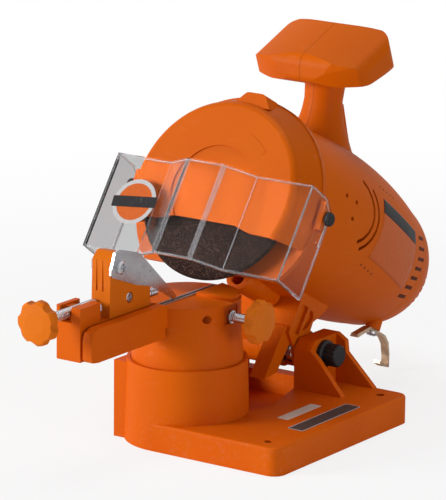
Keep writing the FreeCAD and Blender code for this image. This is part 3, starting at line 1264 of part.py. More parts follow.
hook = Piece("chain_hook", HEAD_FRAME)
hook.pad(hook.sketch("YZ", HOOK_RIGHT).outline([
    (64.0, 24.9), (64.4, 27.1), (77.0, HOOK_TOP), (91.4, HOOK_TOP), (97.9, 35.4),
    (103.9, 32.3), (109.0, 25.5), (112.6, 17.8), (106.5, 16.6), (100.4, 17.0),
    (100.2, 18.9), (106.0, 18.7), (109.9, 19.6), (107.2, 24.5), (102.6, 30.5),
    (97.2, 33.4), (91.3, HOOK_TOP - 1.9), (77.7, HOOK_TOP - 1.9), (66.2, 25.2)]), 5,
    middle=True)
hook.pocket(hook.sketch("XY", 60).circle(HOOK_RIGHT, HOOK_BACK, 2.2), 40)
kept_screw("hook_screw", HEAD_FRAME * Placement(
    Vector(HOOK_RIGHT, HOOK_BACK, HOOK_TOP - 1.9), Rotation(X_AXIS, 180)),
    1.55, 10, 3.6, 2.2)
kept_screw("depth_screw", upright(SPINDLE_FRAME, 4, 26 - D.spindle_height, 47),
           2.2, 24, 4.2, 3.0)

# torsion spring: one leg under the foot of the arm, the other down into the well
SPRING_RADIUS = 7.0
WIRE = 1.1
TURNS = 3.809
PITCH = 2.44
SPRING_FRAME = along_x(HEAD_FRAME, 13.9, 0, 0) * Placement(Vector(), Rotation(Z_AXIS, 34))
wound = coil("head_spring_coil", SPRING_FRAME, SPRING_RADIUS, WIRE, PITCH, TURNS,
             keep=False)


def spring_leg(label, turns, length, backwards):
    turn = math.radians(360 * turns)
    tangent = Rotation(Z_AXIS, 360 * turns) * Rotation(X_AXIS, 90 if backwards else -90)
    start = Vector(SPRING_RADIUS * math.cos(turn), SPRING_RADIUS * math.sin(turn),
                   PITCH * turns)
    leg = doc.addObject("Part::Cylinder", label)
    leg.Radius = WIRE
    leg.Height = length + 0.4
    leg.Placement = SPRING_FRAME * Placement(start, tangent) * Placement(
        Vector(0, 0, -0.4), Rotation())
    return leg


boolean("MultiFuse", "head_spring", [
    wound, spring_leg("foot_leg", 0, 39, True), spring_leg("base_leg", TURNS, 24.0, False)],
    keep=True)


# --------------------------------------------------------------------------------------
# Checks and export
# --------------------------------------------------------------------------------------
doc.recompute()
faults = [obj.Name for obj in doc.Objects
          if any(word in obj.State for word in ("Invalid", "Error"))]
if faults:
    raise RuntimeError(f"features that failed: {faults}")
os.makedirs("parts", exist_ok=True)
for item in PARTS:
    shape = item.Shape
    if shape.isNull() or not shape.isValid() or shape.Volume <= 0:
        raise RuntimeError(f"bad shape: {item.Label}")
    shape.exportStep(f"parts/{item.Label}.step")
    print(f"{item.Label}: {len(shape.Solids)} solid, {shape.Volume:.0f} mm3")
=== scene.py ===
import math

import bmesh
import bpy
from mathutils import Matrix, Vector
from mathutils.bvhtree import BVHTree


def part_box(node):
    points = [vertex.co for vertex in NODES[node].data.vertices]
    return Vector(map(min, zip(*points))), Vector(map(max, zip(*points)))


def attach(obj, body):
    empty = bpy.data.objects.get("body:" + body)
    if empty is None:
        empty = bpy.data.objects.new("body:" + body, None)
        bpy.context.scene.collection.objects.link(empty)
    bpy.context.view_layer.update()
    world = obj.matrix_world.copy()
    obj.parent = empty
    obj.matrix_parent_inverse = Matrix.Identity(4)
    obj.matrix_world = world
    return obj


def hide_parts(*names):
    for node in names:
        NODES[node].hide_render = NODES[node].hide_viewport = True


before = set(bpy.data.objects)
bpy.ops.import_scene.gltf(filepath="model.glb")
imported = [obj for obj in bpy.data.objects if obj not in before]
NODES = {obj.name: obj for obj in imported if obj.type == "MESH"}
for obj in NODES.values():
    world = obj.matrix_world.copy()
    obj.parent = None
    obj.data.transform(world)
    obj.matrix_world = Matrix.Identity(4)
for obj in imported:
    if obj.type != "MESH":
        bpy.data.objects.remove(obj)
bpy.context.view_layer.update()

MM = 0.001

# Frames of the machine, in metres: the hinge of the head, and the shield on it
HEAD_X = -79 * MM
HINGE = Vector((HEAD_X, 56 * MM, 39 * MM))
HEAD_TILT = math.radians(28)
SHIELD_LEAN = math.radians(7.6)


def turned(angle):
    """Axes of a frame turned about X: its Y points back and down, its Z up and back."""
    return (Vector((1, 0, 0)), Vector((0, math.cos(angle), -math.sin(angle))),
            Vector((0, math.sin(angle), math.cos(angle))))


def placing(origin, axes):
    """Matrix from a frame's own millimetres to metres in the room."""
    x, y, z = axes
    turn = Matrix((x, y, z)).transposed().to_4x4()
    return Matrix.Translation(origin) @ turn @ Matrix.Scale(MM, 4)


ROOM = Matrix.Scale(MM, 4)
VISE = Matrix.Translation((HEAD_X, -34 * MM, 0)) @ Matrix.Scale(MM, 4)
HEAD = placing(HINGE, turned(HEAD_TILT))
SHIELD = placing(HEAD @ Vector((0, -88.8, 66.2)), turned(HEAD_TILT + SHIELD_LEAN))


# ---------------------------------------------------------------- finishes

def ink(red, green, blue):
    """A colour written 0 to 255, as light."""
    def light(value):
        value /= 255
        return value / 12.92 if value <= 0.04045 else ((value + 0.055) / 1.055) ** 2.4
    return (light(red), light(green), light(blue), 1.0)


class Value:
    """One output of a finish's nodes; arithmetic on it adds Math nodes."""

    def __init__(self, finish, socket):
        self.finish = finish
        self.socket = socket

    def math(self, operation, *others):
        """A Math node's operation on this value and the others."""
        return self.finish.node("ShaderNodeMath", {"operation": operation},
                                *((self,) + others))

    def __add__(self, other):
        return self.math("ADD", other)

    def __sub__(self, other):
        return self.math("SUBTRACT", other)

    def __rsub__(self, other):
        return self.finish.node("ShaderNodeMath", {"operation": "SUBTRACT"}, other, self)

    def __mul__(self, other):
        return self.math("MULTIPLY", other)

    __radd__ = __add__
    __rmul__ = __mul__

    def step(self, low, high):
        """0 below low, 1 above high, smooth between."""
        return self.finish.node("ShaderNodeMapRange", {"interpolation_type": "SMOOTHSTEP"},
                                self, low, high, 0.0, 1.0)


class Finish:
    """A material under construction: nodes in, one surface shader out."""

    def __init__(self, name):
        self.material = bpy.data.materials.new(name)
        self.material.use_nodes = True
        self.tree = self.material.node_tree
        self.tree.nodes.clear()
        self.place = self.node("ShaderNodeTexCoord", output="Object")

    def node(self, kind, settings=None, *values, output=0, **named):
        """Adds a node: settings first, then its sockets by order or by name."""
        node = self.tree.nodes.new(kind)
        for key, value in (settings or {}).items():
            setattr(node, key, value)
        for spot, value in list(enumerate(values)) + list(named.items()):
            key = spot if isinstance(spot, int) else spot.replace("_", " ")
            if isinstance(value, Value):
                self.tree.links.new(value.socket, node.inputs[key])
            elif value is not None:
                node.inputs[key].default_value = value
        return Value(self, node.outputs[output]) if node.outputs else None

    def noise(self, scale, detail=2.0, stretch=(1, 1, 1), rough=0.5):
        """Noise on the piece, its scale in waves a metre, stretched along an axis."""
        where = self.place
        if stretch != (1, 1, 1):
            where = self.node("ShaderNodeMapping", None, Vector=self.place,
                              Scale=stretch)
        return self.node("ShaderNodeTexNoise", None, Vector=where, Scale=scale,
                         Detail=detail, Roughness=rough)

    def axis(self, which):
        """The X, Y or Z of a point on the piece, in metres."""
        return self.node("ShaderNodeSeparateXYZ", None, self.place, output="XYZ".index(which))

    def mix(self, share, first, second):
        """The first colour, or the second where the share is 1."""
        node = self.tree.nodes.new("ShaderNodeMix")
        node.data_type = "RGBA"
        for key, value in ((0, share), (6, first), (7, second)):
            if isinstance(value, Value):
                self.tree.links.new(value.socket, node.inputs[key])
            else:
                node.inputs[key].default_value = value
        return Value(self, node.outputs[2])

    def bump(self, height, depth, strength=1.0, before=None):
        """A Bump node whose height of 1 is depth metres."""
        return self.node("ShaderNodeBump", None, Height=height, Distance=depth,
                         Strength=strength, Normal=before)

    def surface(self, **sockets):
        """Ends the finish in one Principled surface with these sockets."""
        self.end(self.node("ShaderNodeBsdfPrincipled", None, **sockets))
        return self.material

    def end(self, shader):
        """Ends the finish in a shader and gives its material."""
        self.node("ShaderNodeOutputMaterial", None, Surface=shader)
        return self.material


GRAIN_DEPTH = 0.00005
SEAM_DEPTH = 0.00025
GRIT_SCALE = 1500.0


def moulded(name, colour, pale, rough=0.4, grain=1.0, seam=None, dust=0.0):
    """Satin injection-moulded plastic: cloudy colour, spark-eroded grain, light rubbing."""
    f = Finish(name)
    cloud = f.noise(24, 3.0)
    fleck = f.noise(900, 2.0)
    rub = f.noise(55, 5.0, (1, 1, 4), 0.62).step(0.6, 0.72)
    tone = f.mix(cloud.step(0.3, 0.75) * 0.45 + fleck.step(0.55, 0.8) * 0.12, colour, pale)
    tone = f.mix(rub * 0.07, tone, ink(240, 176, 128))
    if dust:
        settled = f.noise(420, 5.0).step(0.5, 0.75) * (1 - f.axis("Z").step(0.0, 0.045))
        tone = f.mix(settled * dust, tone, ink(196, 160, 132))
    height = f.noise(2600, 2.0) * 0.6 + f.noise(700, 2.0) * 0.4
    normal = f.bump(height, GRAIN_DEPTH * grain, 0.5)
    if seam is not None:
        off = f.axis("X") - seam
        line = 1 - off.math("ABSOLUTE").step(0.00012, 0.0003)
        tone = f.mix(line * 0.35, tone, ink(96, 36, 8))
        normal = f.bump(1 - line, SEAM_DEPTH, 0.8, normal)
    gloss = rough + cloud * 0.08 + rub * 0.12 + fleck * 0.06
    return f.surface(Base_Color=tone, Roughness=gloss, Normal=normal, IOR=1.49,
                     Specular_IOR_Level=0.08)


def black_moulding(name):
    """Black plastic with fine grain and greyed high spots."""
    f = Finish(name)
    cloud = f.noise(160, 4.0)
    tone = f.mix(cloud.step(0.45, 0.8) * 0.5, ink(22, 22, 24), ink(58, 57, 58))
    height = f.noise(3000, 2.0) + f.noise(900, 1.0) * 0.5
    return f.surface(Base_Color=tone, Roughness=0.45 + cloud * 0.15,
                     Normal=f.bump(height, GRAIN_DEPTH, 0.5), Specular_IOR_Level=0.3)


def plated(name, colour, dull, rough, lines=(1, 1, 1), marks=0.3):
    """Plated steel: drawn lines, cloudy plating and small dull marks."""
    f = Finish(name)
    drawn = f.noise(1400, 3.0, lines)
    cloud = f.noise(180, 4.0)
    mark = f.noise(420, 5.0, (1, 1, 1), 0.65).step(0.6, 0.68)
    tone = f.mix(cloud.step(0.35, 0.7) * 0.6, colour, dull)
    tone = f.mix(mark * marks, tone, ink(104, 98, 92))
    gloss = rough + drawn * 0.12 + mark * 0.2
    return f.surface(Base_Color=tone, Metallic=1.0, Roughness=gloss,
                     Normal=f.bump(drawn, 0.00002, 0.4))


def grit(name):
    """Bonded abrasive: dark brown bond with pale and black grains, faint turning rings."""
    f = Finish(name)
    grains = f.node("ShaderNodeTexVoronoi", None, Vector=f.place, Scale=GRIT_SCALE,
                    output="Color")
    cell = f.node("ShaderNodeSeparateColor", None, grains)
    bond = f.noise(90, 4.0)
    tone = f.mix(bond.step(0.3, 0.7), ink(34, 20, 16), ink(46, 29, 23))
    tone = f.mix(cell.step(0.8, 0.95) * 0.5, tone, ink(120, 88, 74))
    tone = f.mix((1 - cell).step(0.8, 0.95) * 0.6, tone, ink(24, 17, 15))
    height = f.node("ShaderNodeTexVoronoi", None, Vector=f.place, Scale=GRIT_SCALE)
    normal = f.bump(height + f.noise(3000, 1.0) * 0.5, 0.00016, 0.8)
    return f.surface(Base_Color=tone, Roughness=0.72 + bond * 0.2, Normal=normal,
                     Specular_IOR_Level=0.1)


def clear_moulding(name):
    """Clear moulded plastic: glass that lets lamps through, with soft flow marks."""
    f = Finish(name)
    flow = f.noise(22, 3.0, (0.6, 1, 2.4))
    scuff = f.noise(260, 6.0, (1, 1, 1), 0.7).step(0.62, 0.72)
    tone = f.mix(scuff * 0.5, ink(240, 241, 242), ink(222, 225, 228))
    body = f.node("ShaderNodeBsdfPrincipled", None, Base_Color=tone, IOR=1.2,
                  Roughness=0.035 + scuff * 0.1 + flow * 0.02,
                  Transmission_Weight=1.0, Normal=f.bump(flow, 0.0008, 0.25))
    through = f.node("ShaderNodeBsdfTransparent", None, ink(244, 245, 246))
    shadow = f.node("ShaderNodeLightPath", output="Is Shadow Ray")
    return f.end(f.node("ShaderNodeMixShader", None, shadow, body, through))


def clear_edge_sheen(name):
    """Rounded edges and folds of the clear moulding: real beads, with a pale half-clear colour
    that is a painted highlight of the bright bands along them.
    """
    f = Finish(name)
    cloud = f.noise(90, 3.0)
    return f.surface(Base_Color=f.mix(cloud, ink(214, 215, 218), ink(168, 170, 174)),
                     Roughness=0.1 + cloud * 0.12, Alpha=0.16 + cloud * 0.16,
                     Normal=f.bump(f.noise(400, 2.0), 0.0001, 0.4))


def laminated(name):
    """Stamped core sheets: thin stripes across the shaft with a brown oxide."""
    f = Finish(name)
    along = (f.axis("Y") * math.cos(HEAD_TILT) - f.axis("Z") * math.sin(HEAD_TILT))
    sheet = (along * 12566.0).math("SINE") * 0.5 + 0.5
    tone = f.mix(f.noise(200, 4.0).step(0.4, 0.7), ink(112, 112, 116), ink(92, 80, 70))
    return f.surface(Base_Color=f.mix(sheet * 0.4, tone, ink(50, 47, 46)), Metallic=0.9,
                     Roughness=0.38 + sheet * 0.2, Normal=f.bump(sheet, 0.00008, 0.7))


def wound(name):
    """Enamelled copper wire laid side by side."""
    f = Finish(name)
    lay = ((f.axis("X") + f.axis("Z") * 0.35) * 9000.0).math("SINE") * 0.5 + 0.5
    tone = f.mix(lay, ink(120, 52, 22), ink(196, 112, 58))
    tone = f.mix(f.noise(300, 3.0).step(0.5, 0.75) * 0.4, tone, ink(92, 38, 20))
    return f.surface(Base_Color=tone, Metallic=0.7, Roughness=0.3 + lay * 0.1,
                     Coat_Weight=0.4, Normal=f.bump(lay, 0.00012, 0.8))


def pressed_carbon(name):
    """Pressed carbon of the brushes: dull grey-black with bright specks."""
    f = Finish(name)
    speck = f.noise(1800, 3.0)
    tone = f.mix(speck.step(0.5, 0.75), ink(34, 34, 38), ink(74, 74, 80))
    return f.surface(Base_Color=tone, Metallic=0.2, Roughness=0.5 + speck * 0.2,
                     Normal=f.bump(speck, 0.00006, 0.6))


def printed(name, colour, edge, rough=0.35):
    """Printed film: even ink with a light mottle and a few rubbed specks."""
    f = Finish(name)
    mottle = f.noise(420, 3.0)
    rub = f.noise(150, 5.0, (1, 1, 1), 0.7).step(0.62, 0.7)
    tone = f.mix(mottle.step(0.3, 0.8) * 0.35, colour, edge)
    tone = f.mix(rub * 0.3, tone, ink(176, 170, 164))
    return f.surface(Base_Color=tone, Roughness=rough + mottle * 0.15,
                     Normal=f.bump(f.noise(1200, 2.0), 0.00002, 0.4),
                     Specular_IOR_Level=0.2)


ORANGE = ink(212, 94, 1)
ORANGE_PALE = ink(218, 104, 6)
KNOB = ink(218, 108, 14)
KNOB_PALE = ink(226, 122, 30)

FINISHES = {
    "body_orange": moulded("body_orange", ORANGE, ORANGE_PALE, seam=HEAD_X),
    # The guard's orange is the body's orange made slightly darker: painted shade that tones
    # down the guard where the key lamp falls on it
    "guard_orange_shaded": moulded("guard_orange_shaded", ink(206, 91, 1), ink(212, 99, 4), 0.36),
    "base_orange": moulded("base_orange", ink(214, 92, 1), ink(222, 104, 8), 0.42,
                           dust=0.1),
    "vise_orange": moulded("vise_orange", ink(212, 90, 1), ink(220, 102, 8), 0.4),
    "knob_orange": moulded("knob_orange", KNOB, KNOB_PALE, 0.34, 0.7),
    "black_moulding": black_moulding("black_moulding"),
    "zinc": plated("zinc", ink(190, 190, 194), ink(160, 160, 166), 0.28),
    "nickel": plated("nickel", ink(204, 204, 208), ink(184, 184, 190), 0.16, (1, 1, 6), 0.12),
    "hook_steel": plated("hook_steel", ink(214, 190, 160), ink(170, 140, 112), 0.34, (1, 1, 5)),
    "grit": grit("grit"),
    "clear": clear_moulding("clear"),
    "clear_edge_sheen": clear_edge_sheen("clear_edge_sheen"),
    "laminated": laminated("laminated"),
    "wound": wound("wound"),
    "pressed_carbon": pressed_carbon("pressed_carbon"),
    "film_pale": printed("film_pale", ink(214, 206, 196), ink(188, 176, 164)),
    "film_dark": printed("film_dark", ink(66, 60, 58), ink(92, 84, 80)),
    "film_orange": printed("film_orange", ink(206, 98, 36), ink(190, 84, 26)),
    "film_header": printed("film_header", ink(34, 32, 34), ink(54, 50, 52)),
    # pit_shadow: dark ink of painted shade, for vent holes and slots shown as flat films
    # instead of being cut
    "pit_shadow": printed("pit_shadow", ink(88, 30, 4), ink(60, 20, 2), 0.6),
    "badge_silver": printed("badge_silver", ink(198, 196, 196), ink(166, 164, 166), 0.3),
}

WEARS = {
    "body_orange": ("left_housing", "right_housing"),
    "guard_orange_shaded": ("disc_guard", "guard_back"),
    "base_orange": ("base",),
    "vise_orange": ("turntable", "fixed_jaw", "movable_jaw"),
    "knob_orange": ("clamp_knob", "stop_knob", "turntable_lock_knob", "stop_block"),
    "black_moulding": ("pivot_knob", "shield_screws", "cord_gland", "switch_button",
                       "power_switch", "brush_holders", "cooling_fan"),
    "zinc": ("pivot_bolt", "pivot_washers", "turntable_bolt", "turntable_washer",
             "guide_pins", "jaw_screws", "housing_screws", "guard_screws", "hook_screw",
             "depth_screw", "motor_shaft", "inner_flange", "flange_nut", "front_bearing",
             "rear_bearing", "fixed_jaw_plate", "movable_jaw_plate"),
    "nickel": ("clamp_screw", "stop_screw", "stop_pawl", "pawl_pin", "pawl_nut",
               "stop_block_screw", "stop_pin", "pawl_spring", "head_spring"),
    "hook_steel": ("chain_hook",),
    "grit": ("grinding_disc",),
    "clear": ("shield",),
    "laminated": ("armature_core", "motor_field"),
    "wound": ("commutator", "field_coils"),
    "pressed_carbon": ("carbon_brushes",),
}
for finish, names in WEARS.items():
    for name in names:
        slots = NODES[name].data.materials
        slots.clear()
        slots.append(FINISHES[finish])


# ---------------------------------------------------------------- small pieces

def settle(name, mesh, body, slot, *finishes):
    """Links a finished mesh as a piece that rides on a body."""
    piece = bpy.data.objects.new(name, mesh)
    bpy.context.scene.collection.objects.link(piece)
    if finishes:
        mesh.materials.clear()
        for finish in finishes:
            mesh.materials.append(FINISHES[finish])
    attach(piece, body)
    return piece


def from_bmesh(name, shape, place):
    """A mesh from a bmesh drawn in a frame's millimetres, faces outward."""
    bmesh.ops.remove_doubles(shape, verts=shape.verts, dist=1e-5)
    bmesh.ops.transform(shape, matrix=place, verts=shape.verts)
    bmesh.ops.recalc_face_normals(shape, faces=shape.faces)
    mesh = bpy.data.meshes.new(name)
    shape.to_mesh(mesh)
    shape.free()
    return mesh


def slab(name, outline, bottom, top, place, soften=0.0):
    """A flat plate: an outline in X and Y, from bottom to top along Z."""
    shape = bmesh.new()
    lower = [shape.verts.new((x, y, bottom)) for x, y in outline]
    face = shape.faces.new(lower)
    grown = bmesh.ops.extrude_face_region(shape, geom=[face])["geom"]
    raised = [v for v in grown if isinstance(v, bmesh.types.BMVert)]
    bmesh.ops.translate(shape, verts=raised, vec=(0, 0, top - bottom))
    if soften:
        rim = [e for e in shape.edges if all(v in raised for v in e.verts)]
        bmesh.ops.bevel(shape, geom=rim, offset=soften, segments=2, affect="EDGES")
    return from_bmesh(name, shape, place)


def rounded_box(x0, y0, x1, y1, radius, steps=5):
    """Corners of a rounded rectangle, anticlockwise."""
    ring = []
    for cx, cy, start in ((x1 - radius, y1 - radius, 0), (x0 + radius, y1 - radius, 90),
                          (x0 + radius, y0 + radius, 180), (x1 - radius, y0 + radius, 270)):
        for step in range(steps + 1):
            angle = math.radians(start + 90 * step / steps)
            ring.append((cx + radius * math.cos(angle), cy + radius * math.sin(angle)))
    return ring


def circle(radius, count, start=0.0, sweep=360.0):
    """Points round a circle or an arc."""
    closed = sweep >= 360
    last = count if closed else count - 1
    return [(radius * math.cos(math.radians(start + sweep * i / last)),
             radius * math.sin(math.radians(start + sweep * i / last)))
            for i in range(count)]


def hoop(name, levels, place):
    """A closed ring through equal outlines, each at its own height."""
    shape = bmesh.new()
    rows = [[shape.verts.new((x, y, z)) for x, y in line] for line, z in levels]
    count = len(rows[0])
    for a, row in enumerate(rows):
        after = rows[(a + 1) % len(rows)]
        for i in range(count):
            j = (i + 1) % count
            shape.faces.new((row[i], row[j], after[j], after[i]))
    return from_bmesh(name, shape, place)


# Two bare labels on the base, the dark one with a pale rim
BASE_TOP = 17.6
FILM_TOP = BASE_TOP + 0.16
RIM_BOTTOM, RIM_TOP = BASE_TOP + 0.12, BASE_TOP + 0.2
PALE_LABEL = rounded_box(-23.4, -18, -15.5, 19.4, 0.8)
DARK_LABEL = rounded_box(-6.2, -32.2, 4.8, 32.1, 0.8)
DARK_INSIDE = rounded_box(-5.6, -31.6, 4.2, 31.5, 0.5)
settle("base_label_pale", slab("base_label_pale", PALE_LABEL, BASE_TOP, FILM_TOP, ROOM, 0.05),
       "frame", "bright_steel", "film_pale")
settle("base_label_dark", slab("base_label_dark", DARK_LABEL, BASE_TOP, FILM_TOP, ROOM, 0.05),
       "frame", "black_plastic", "film_dark")
settle("base_label_dark_rim", hoop("base_label_dark_rim", [
    (DARK_LABEL, RIM_BOTTOM), (DARK_LABEL, RIM_TOP), (DARK_INSIDE, RIM_TOP),
    (DARK_INSIDE, RIM_BOTTOM)], ROOM), "frame", "bright_steel", "badge_silver")

# Round badge on the left front of the shield: pale ring, orange middle, plain dark band
BADGE = SHIELD @ Matrix.Translation((-47.5, -26.6, -19.5)) @ Matrix.Rotation(
    math.radians(90), 4, "X") @ Matrix.Rotation(math.radians(6), 4, "Z")
settle("badge_ring", hoop("badge_ring", [
    (circle(radius, 96), z) for radius, z in (
        (12.3, 0.1), (12.5, 0.24), (14.9, 0.24), (15.1, 0.1), (15.0, 0.0), (12.4, 0.0))],
    BADGE), "shield", "bright_steel", "badge_silver")
settle("badge_middle", slab("badge_middle", circle(12.5, 96), 0.0, 0.14, BADGE),
       "shield", "knob_orange", "film_orange")
settle("badge_band", slab("badge_band", rounded_box(-15.8, -3.6, 15.8, 3.6, 0.6), 0.1, 0.34,
                          BADGE, 0.06),
       "shield", "black_plastic", "film_header")


# ---------------------------------------------------------------- parts that repeat

def thread_tree():
    """Geometry Nodes: a round wire wound on a spiral, for threads and springs."""
    tree = bpy.data.node_groups.new("wound_wire", "GeometryNodeTree")
    face = tree.interface
    for label, kind in (("Turns", "NodeSocketFloat"), ("Radius", "NodeSocketFloat"),
                        ("Length", "NodeSocketFloat"), ("Wire", "NodeSocketFloat"),
                        ("Sides", "NodeSocketInt"), ("Steps", "NodeSocketInt"),
                        ("Finish", "NodeSocketMaterial")):
        face.new_socket(label, in_out="INPUT", socket_type=kind)
    face.new_socket("Mesh", in_out="OUTPUT", socket_type="NodeSocketGeometry")
    add = tree.nodes.new
    enter, leave = add("NodeGroupInput"), add("NodeGroupOutput")
    spiral = add("GeometryNodeCurveSpiral")
    section = add("GeometryNodeCurvePrimitiveCircle")
    sweep = add("GeometryNodeCurveToMesh")
    whole = add("GeometryNodeRealizeInstances")
    paint = add("GeometryNodeSetMaterial")
    link = tree.links.new
    link(enter.outputs["Turns"], spiral.inputs["Rotations"])
    link(enter.outputs["Radius"], spiral.inputs["Start Radius"])
    link(enter.outputs["Radius"], spiral.inputs["End Radius"])
    link(enter.outputs["Length"], spiral.inputs["Height"])
    link(enter.outputs["Steps"], spiral.inputs["Resolution"])
    link(enter.outputs["Wire"], section.inputs["Radius"])
    link(enter.outputs["Sides"], section.inputs["Resolution"])
    link(spiral.outputs[0], sweep.inputs["Curve"])
    link(section.outputs[0], sweep.inputs["Profile Curve"])
    sweep.inputs["Fill Caps"].default_value = True
    link(sweep.outputs[0], whole.inputs[0])
    link(whole.outputs[0], paint.inputs["Geometry"])
    link(enter.outputs["Finish"], paint.inputs["Material"])
    link(paint.outputs[0], leave.inputs[0])
    return tree


def scatter_tree():
    """Geometry Nodes: a small turned shape on each point, facing the point's normal."""
    tree = bpy.data.node_groups.new("set_on_points", "GeometryNodeTree")
    face = tree.interface
    face.new_socket("Points", in_out="INPUT", socket_type="NodeSocketGeometry")
    for label, kind in (("Width", "NodeSocketFloat"), ("Height", "NodeSocketFloat"),
                        ("Finish", "NodeSocketMaterial")):
        face.new_socket(label, in_out="INPUT", socket_type=kind)
    face.new_socket("Mesh", in_out="OUTPUT", socket_type="NodeSocketGeometry")
    add = tree.nodes.new
    enter, leave = add("NodeGroupInput"), add("NodeGroupOutput")
    button = add("GeometryNodeMeshCone")
    button.inputs["Vertices"].default_value = 20
    facing = add("GeometryNodeInputNamedAttribute")
    facing.data_type = "FLOAT_VECTOR"
    facing.inputs["Name"].default_value = "facing"
    turn = add("FunctionNodeAlignRotationToVector")
    turn.axis = "Z"
    spread = add("GeometryNodeInstanceOnPoints")
    whole = add("GeometryNodeRealizeInstances")
    paint = add("GeometryNodeSetMaterial")
    half = add("ShaderNodeMath")
    half.operation = "MULTIPLY"
    half.inputs[1].default_value = 0.72
    link = tree.links.new
    link(enter.outputs["Width"], button.inputs["Radius Bottom"])
    link(enter.outputs["Width"], half.inputs[0])
    link(half.outputs[0], button.inputs["Radius Top"])
    link(enter.outputs["Height"], button.inputs["Depth"])
    link(enter.outputs["Points"], spread.inputs["Points"])
    link(button.outputs[0], spread.inputs["Instance"])
    link(facing.outputs[0], turn.inputs["Vector"])
    link(turn.outputs[0], spread.inputs["Rotation"])
    link(spread.outputs[0], whole.inputs[0])
    link(whole.outputs[0], paint.inputs["Geometry"])
    link(enter.outputs["Finish"], paint.inputs["Material"])
    link(paint.outputs[0], leave.inputs[0])
    return tree


THREAD_TREE = thread_tree()
SCATTER_TREE = scatter_tree()


def grown(name, tree, seed_mesh=None, **inputs):
    """The plain mesh that a Geometry Nodes tree makes from its inputs."""
    seed = bpy.data.objects.new(name + "_seed", seed_mesh or bpy.data.meshes.new(name))
    bpy.context.scene.collection.objects.link(seed)
    modifier = seed.modifiers.new("grow", "NODES")
    modifier.node_group = tree
    for item in tree.interface.items_tree:
        if item.in_out == "INPUT" and item.name in inputs:
            modifier[item.identifier] = inputs[item.name]
    bpy.context.view_layer.update()
    evaluated = seed.evaluated_get(bpy.context.evaluated_depsgraph_get())
    mesh = bpy.data.meshes.new_from_object(evaluated)
    mesh.name = name
    bpy.data.objects.remove(seed)
    return mesh


def wound_wire(name, body, slot, finish, start, axes, turns, radius, length, wire,
               frame_matrix, sides, steps):
    """A wire wound round an axis of a frame, from a start point, in millimetres."""
    mesh = grown(name, THREAD_TREE, Turns=turns, Radius=radius, Length=length, Wire=wire,
                 Sides=sides, Steps=steps, Finish=FINISHES[finish])
    x, y, z = axes
    turn = Matrix((x, y, z)).transposed().to_4x4()
    mesh.transform(frame_matrix @ Matrix.Translation(start) @ turn)
    mesh.polygons.foreach_set("use_smooth", [True] * len(mesh.polygons))
    return settle(name, mesh, body, slot)


ALONG_X = (Vector((0, 1, 0)), Vector((0, 0, 1)), Vector((1, 0, 0)))
ALONG_Y = (Vector((0, 0, 1)), Vector((1, 0, 0)), Vector((0, 1, 0)))


# Threads on the two hand screws, where they show, and the wire of the chain stop's spring
SCREW_PITCH = 1.25
THREAD_RADIUS = 2.82
THREAD_WIRE = 0.3
for name, body, start, axes, length in (
        ("clamp_screw_thread", "clamp", Vector((33.8, 0, 81)), ALONG_X, 11.9),
        ("stop_screw_thread", "stop_drive", Vector((-11.7, -127, 99.3)), ALONG_Y, 46.5)):
    wound_wire(name, body, "chrome", "nickel", start, axes, length / SCREW_PITCH,
               THREAD_RADIUS, length, THREAD_WIRE, VISE, 6, 24)
low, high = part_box("pawl_spring")
low, high = low / MM, high / MM
SPRING_WIRE = 0.5
SPRING_TURNS = 5.6
coil = wound_wire("pawl_spring_coil", "chain_stop", "chrome", "nickel",
                  Vector(((low.x + high.x) / 2, low.y + SPRING_WIRE, (low.z + high.z) / 2)),
                  ALONG_Y, SPRING_TURNS, (high.x - low.x) / 2 - SPRING_WIRE,
                  high.y - low.y - 2 * SPRING_WIRE, SPRING_WIRE * 0.96, ROOM, 12, 32)
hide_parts("pawl_spring")


# ---------------------------------------------------------------- the clear shield's edges

def tube(name, points, radius, place):
    """A round bead along a path of a frame, in millimetres."""
    line = bpy.data.curves.new(name, "CURVE")
    line.dimensions = "3D"
    line.bevel_depth = radius
    line.bevel_resolution = 3
    line.use_fill_caps = True
    run = line.splines.new("POLY")
    run.points.add(len(points) - 1)
    for point, where in zip(run.points, points):
        point.co = (*where, 1)
    holder = bpy.data.objects.new(name, line)
    bpy.context.scene.collection.objects.link(holder)
    bpy.context.view_layer.update()
    mesh = bpy.data.meshes.new_from_object(
        holder.evaluated_get(bpy.context.evaluated_depsgraph_get()))
    bpy.data.objects.remove(holder)
    mesh.transform(place)
    mesh.polygons.foreach_set("use_smooth", [True] * len(mesh.polygons))
    return mesh


SHIELD_SIDE = 71.5
FLAT_FRONT = -25.7
BOWED_FRONT = -36.7
FOLDS = [(-SHIELD_SIDE, FLAT_FRONT), (-31.7, FLAT_FRONT), (-13.7, BOWED_FRONT),
         (12.7, BOWED_FRONT), (31.7, FLAT_FRONT), (SHIELD_SIDE, FLAT_FRONT)]
# The two middle folds get wide beads to carry the painted highlight of the broad bright bands
# along them
FOLD_RADII = (0.55, 0.28, 1.7, 1.7, 0.5, 0.6)
RIM_RADIUS = 0.65
WING_RADIUS = 0.9
SHIELD_LOW = -52.1
SHIELD_HIGH = 9.6
WING_END = 2.6
WING_TOP = 2.6
WING_SLOPE_START = -7.4
for label, height, ends in (
        ("low", SHIELD_LOW, [(WING_END, SHIELD_LOW)]),
        ("high", SHIELD_HIGH, [(WING_SLOPE_START, SHIELD_HIGH), (WING_END, WING_TOP)])):
    rim = [(-SHIELD_SIDE, y, z) for y, z in reversed(ends)]
    rim += [(x, y, height) for x, y in FOLDS]
    rim += [(SHIELD_SIDE, y, z) for y, z in ends]
    settle(f"shield_rim_{label}", tube(f"shield_rim_{label}", rim, RIM_RADIUS, SHIELD),
           # The rims and folds wear a pale colour that paints the highlight along the clear
           # edges
           "shield", "clear_plastic", "clear_edge_sheen")
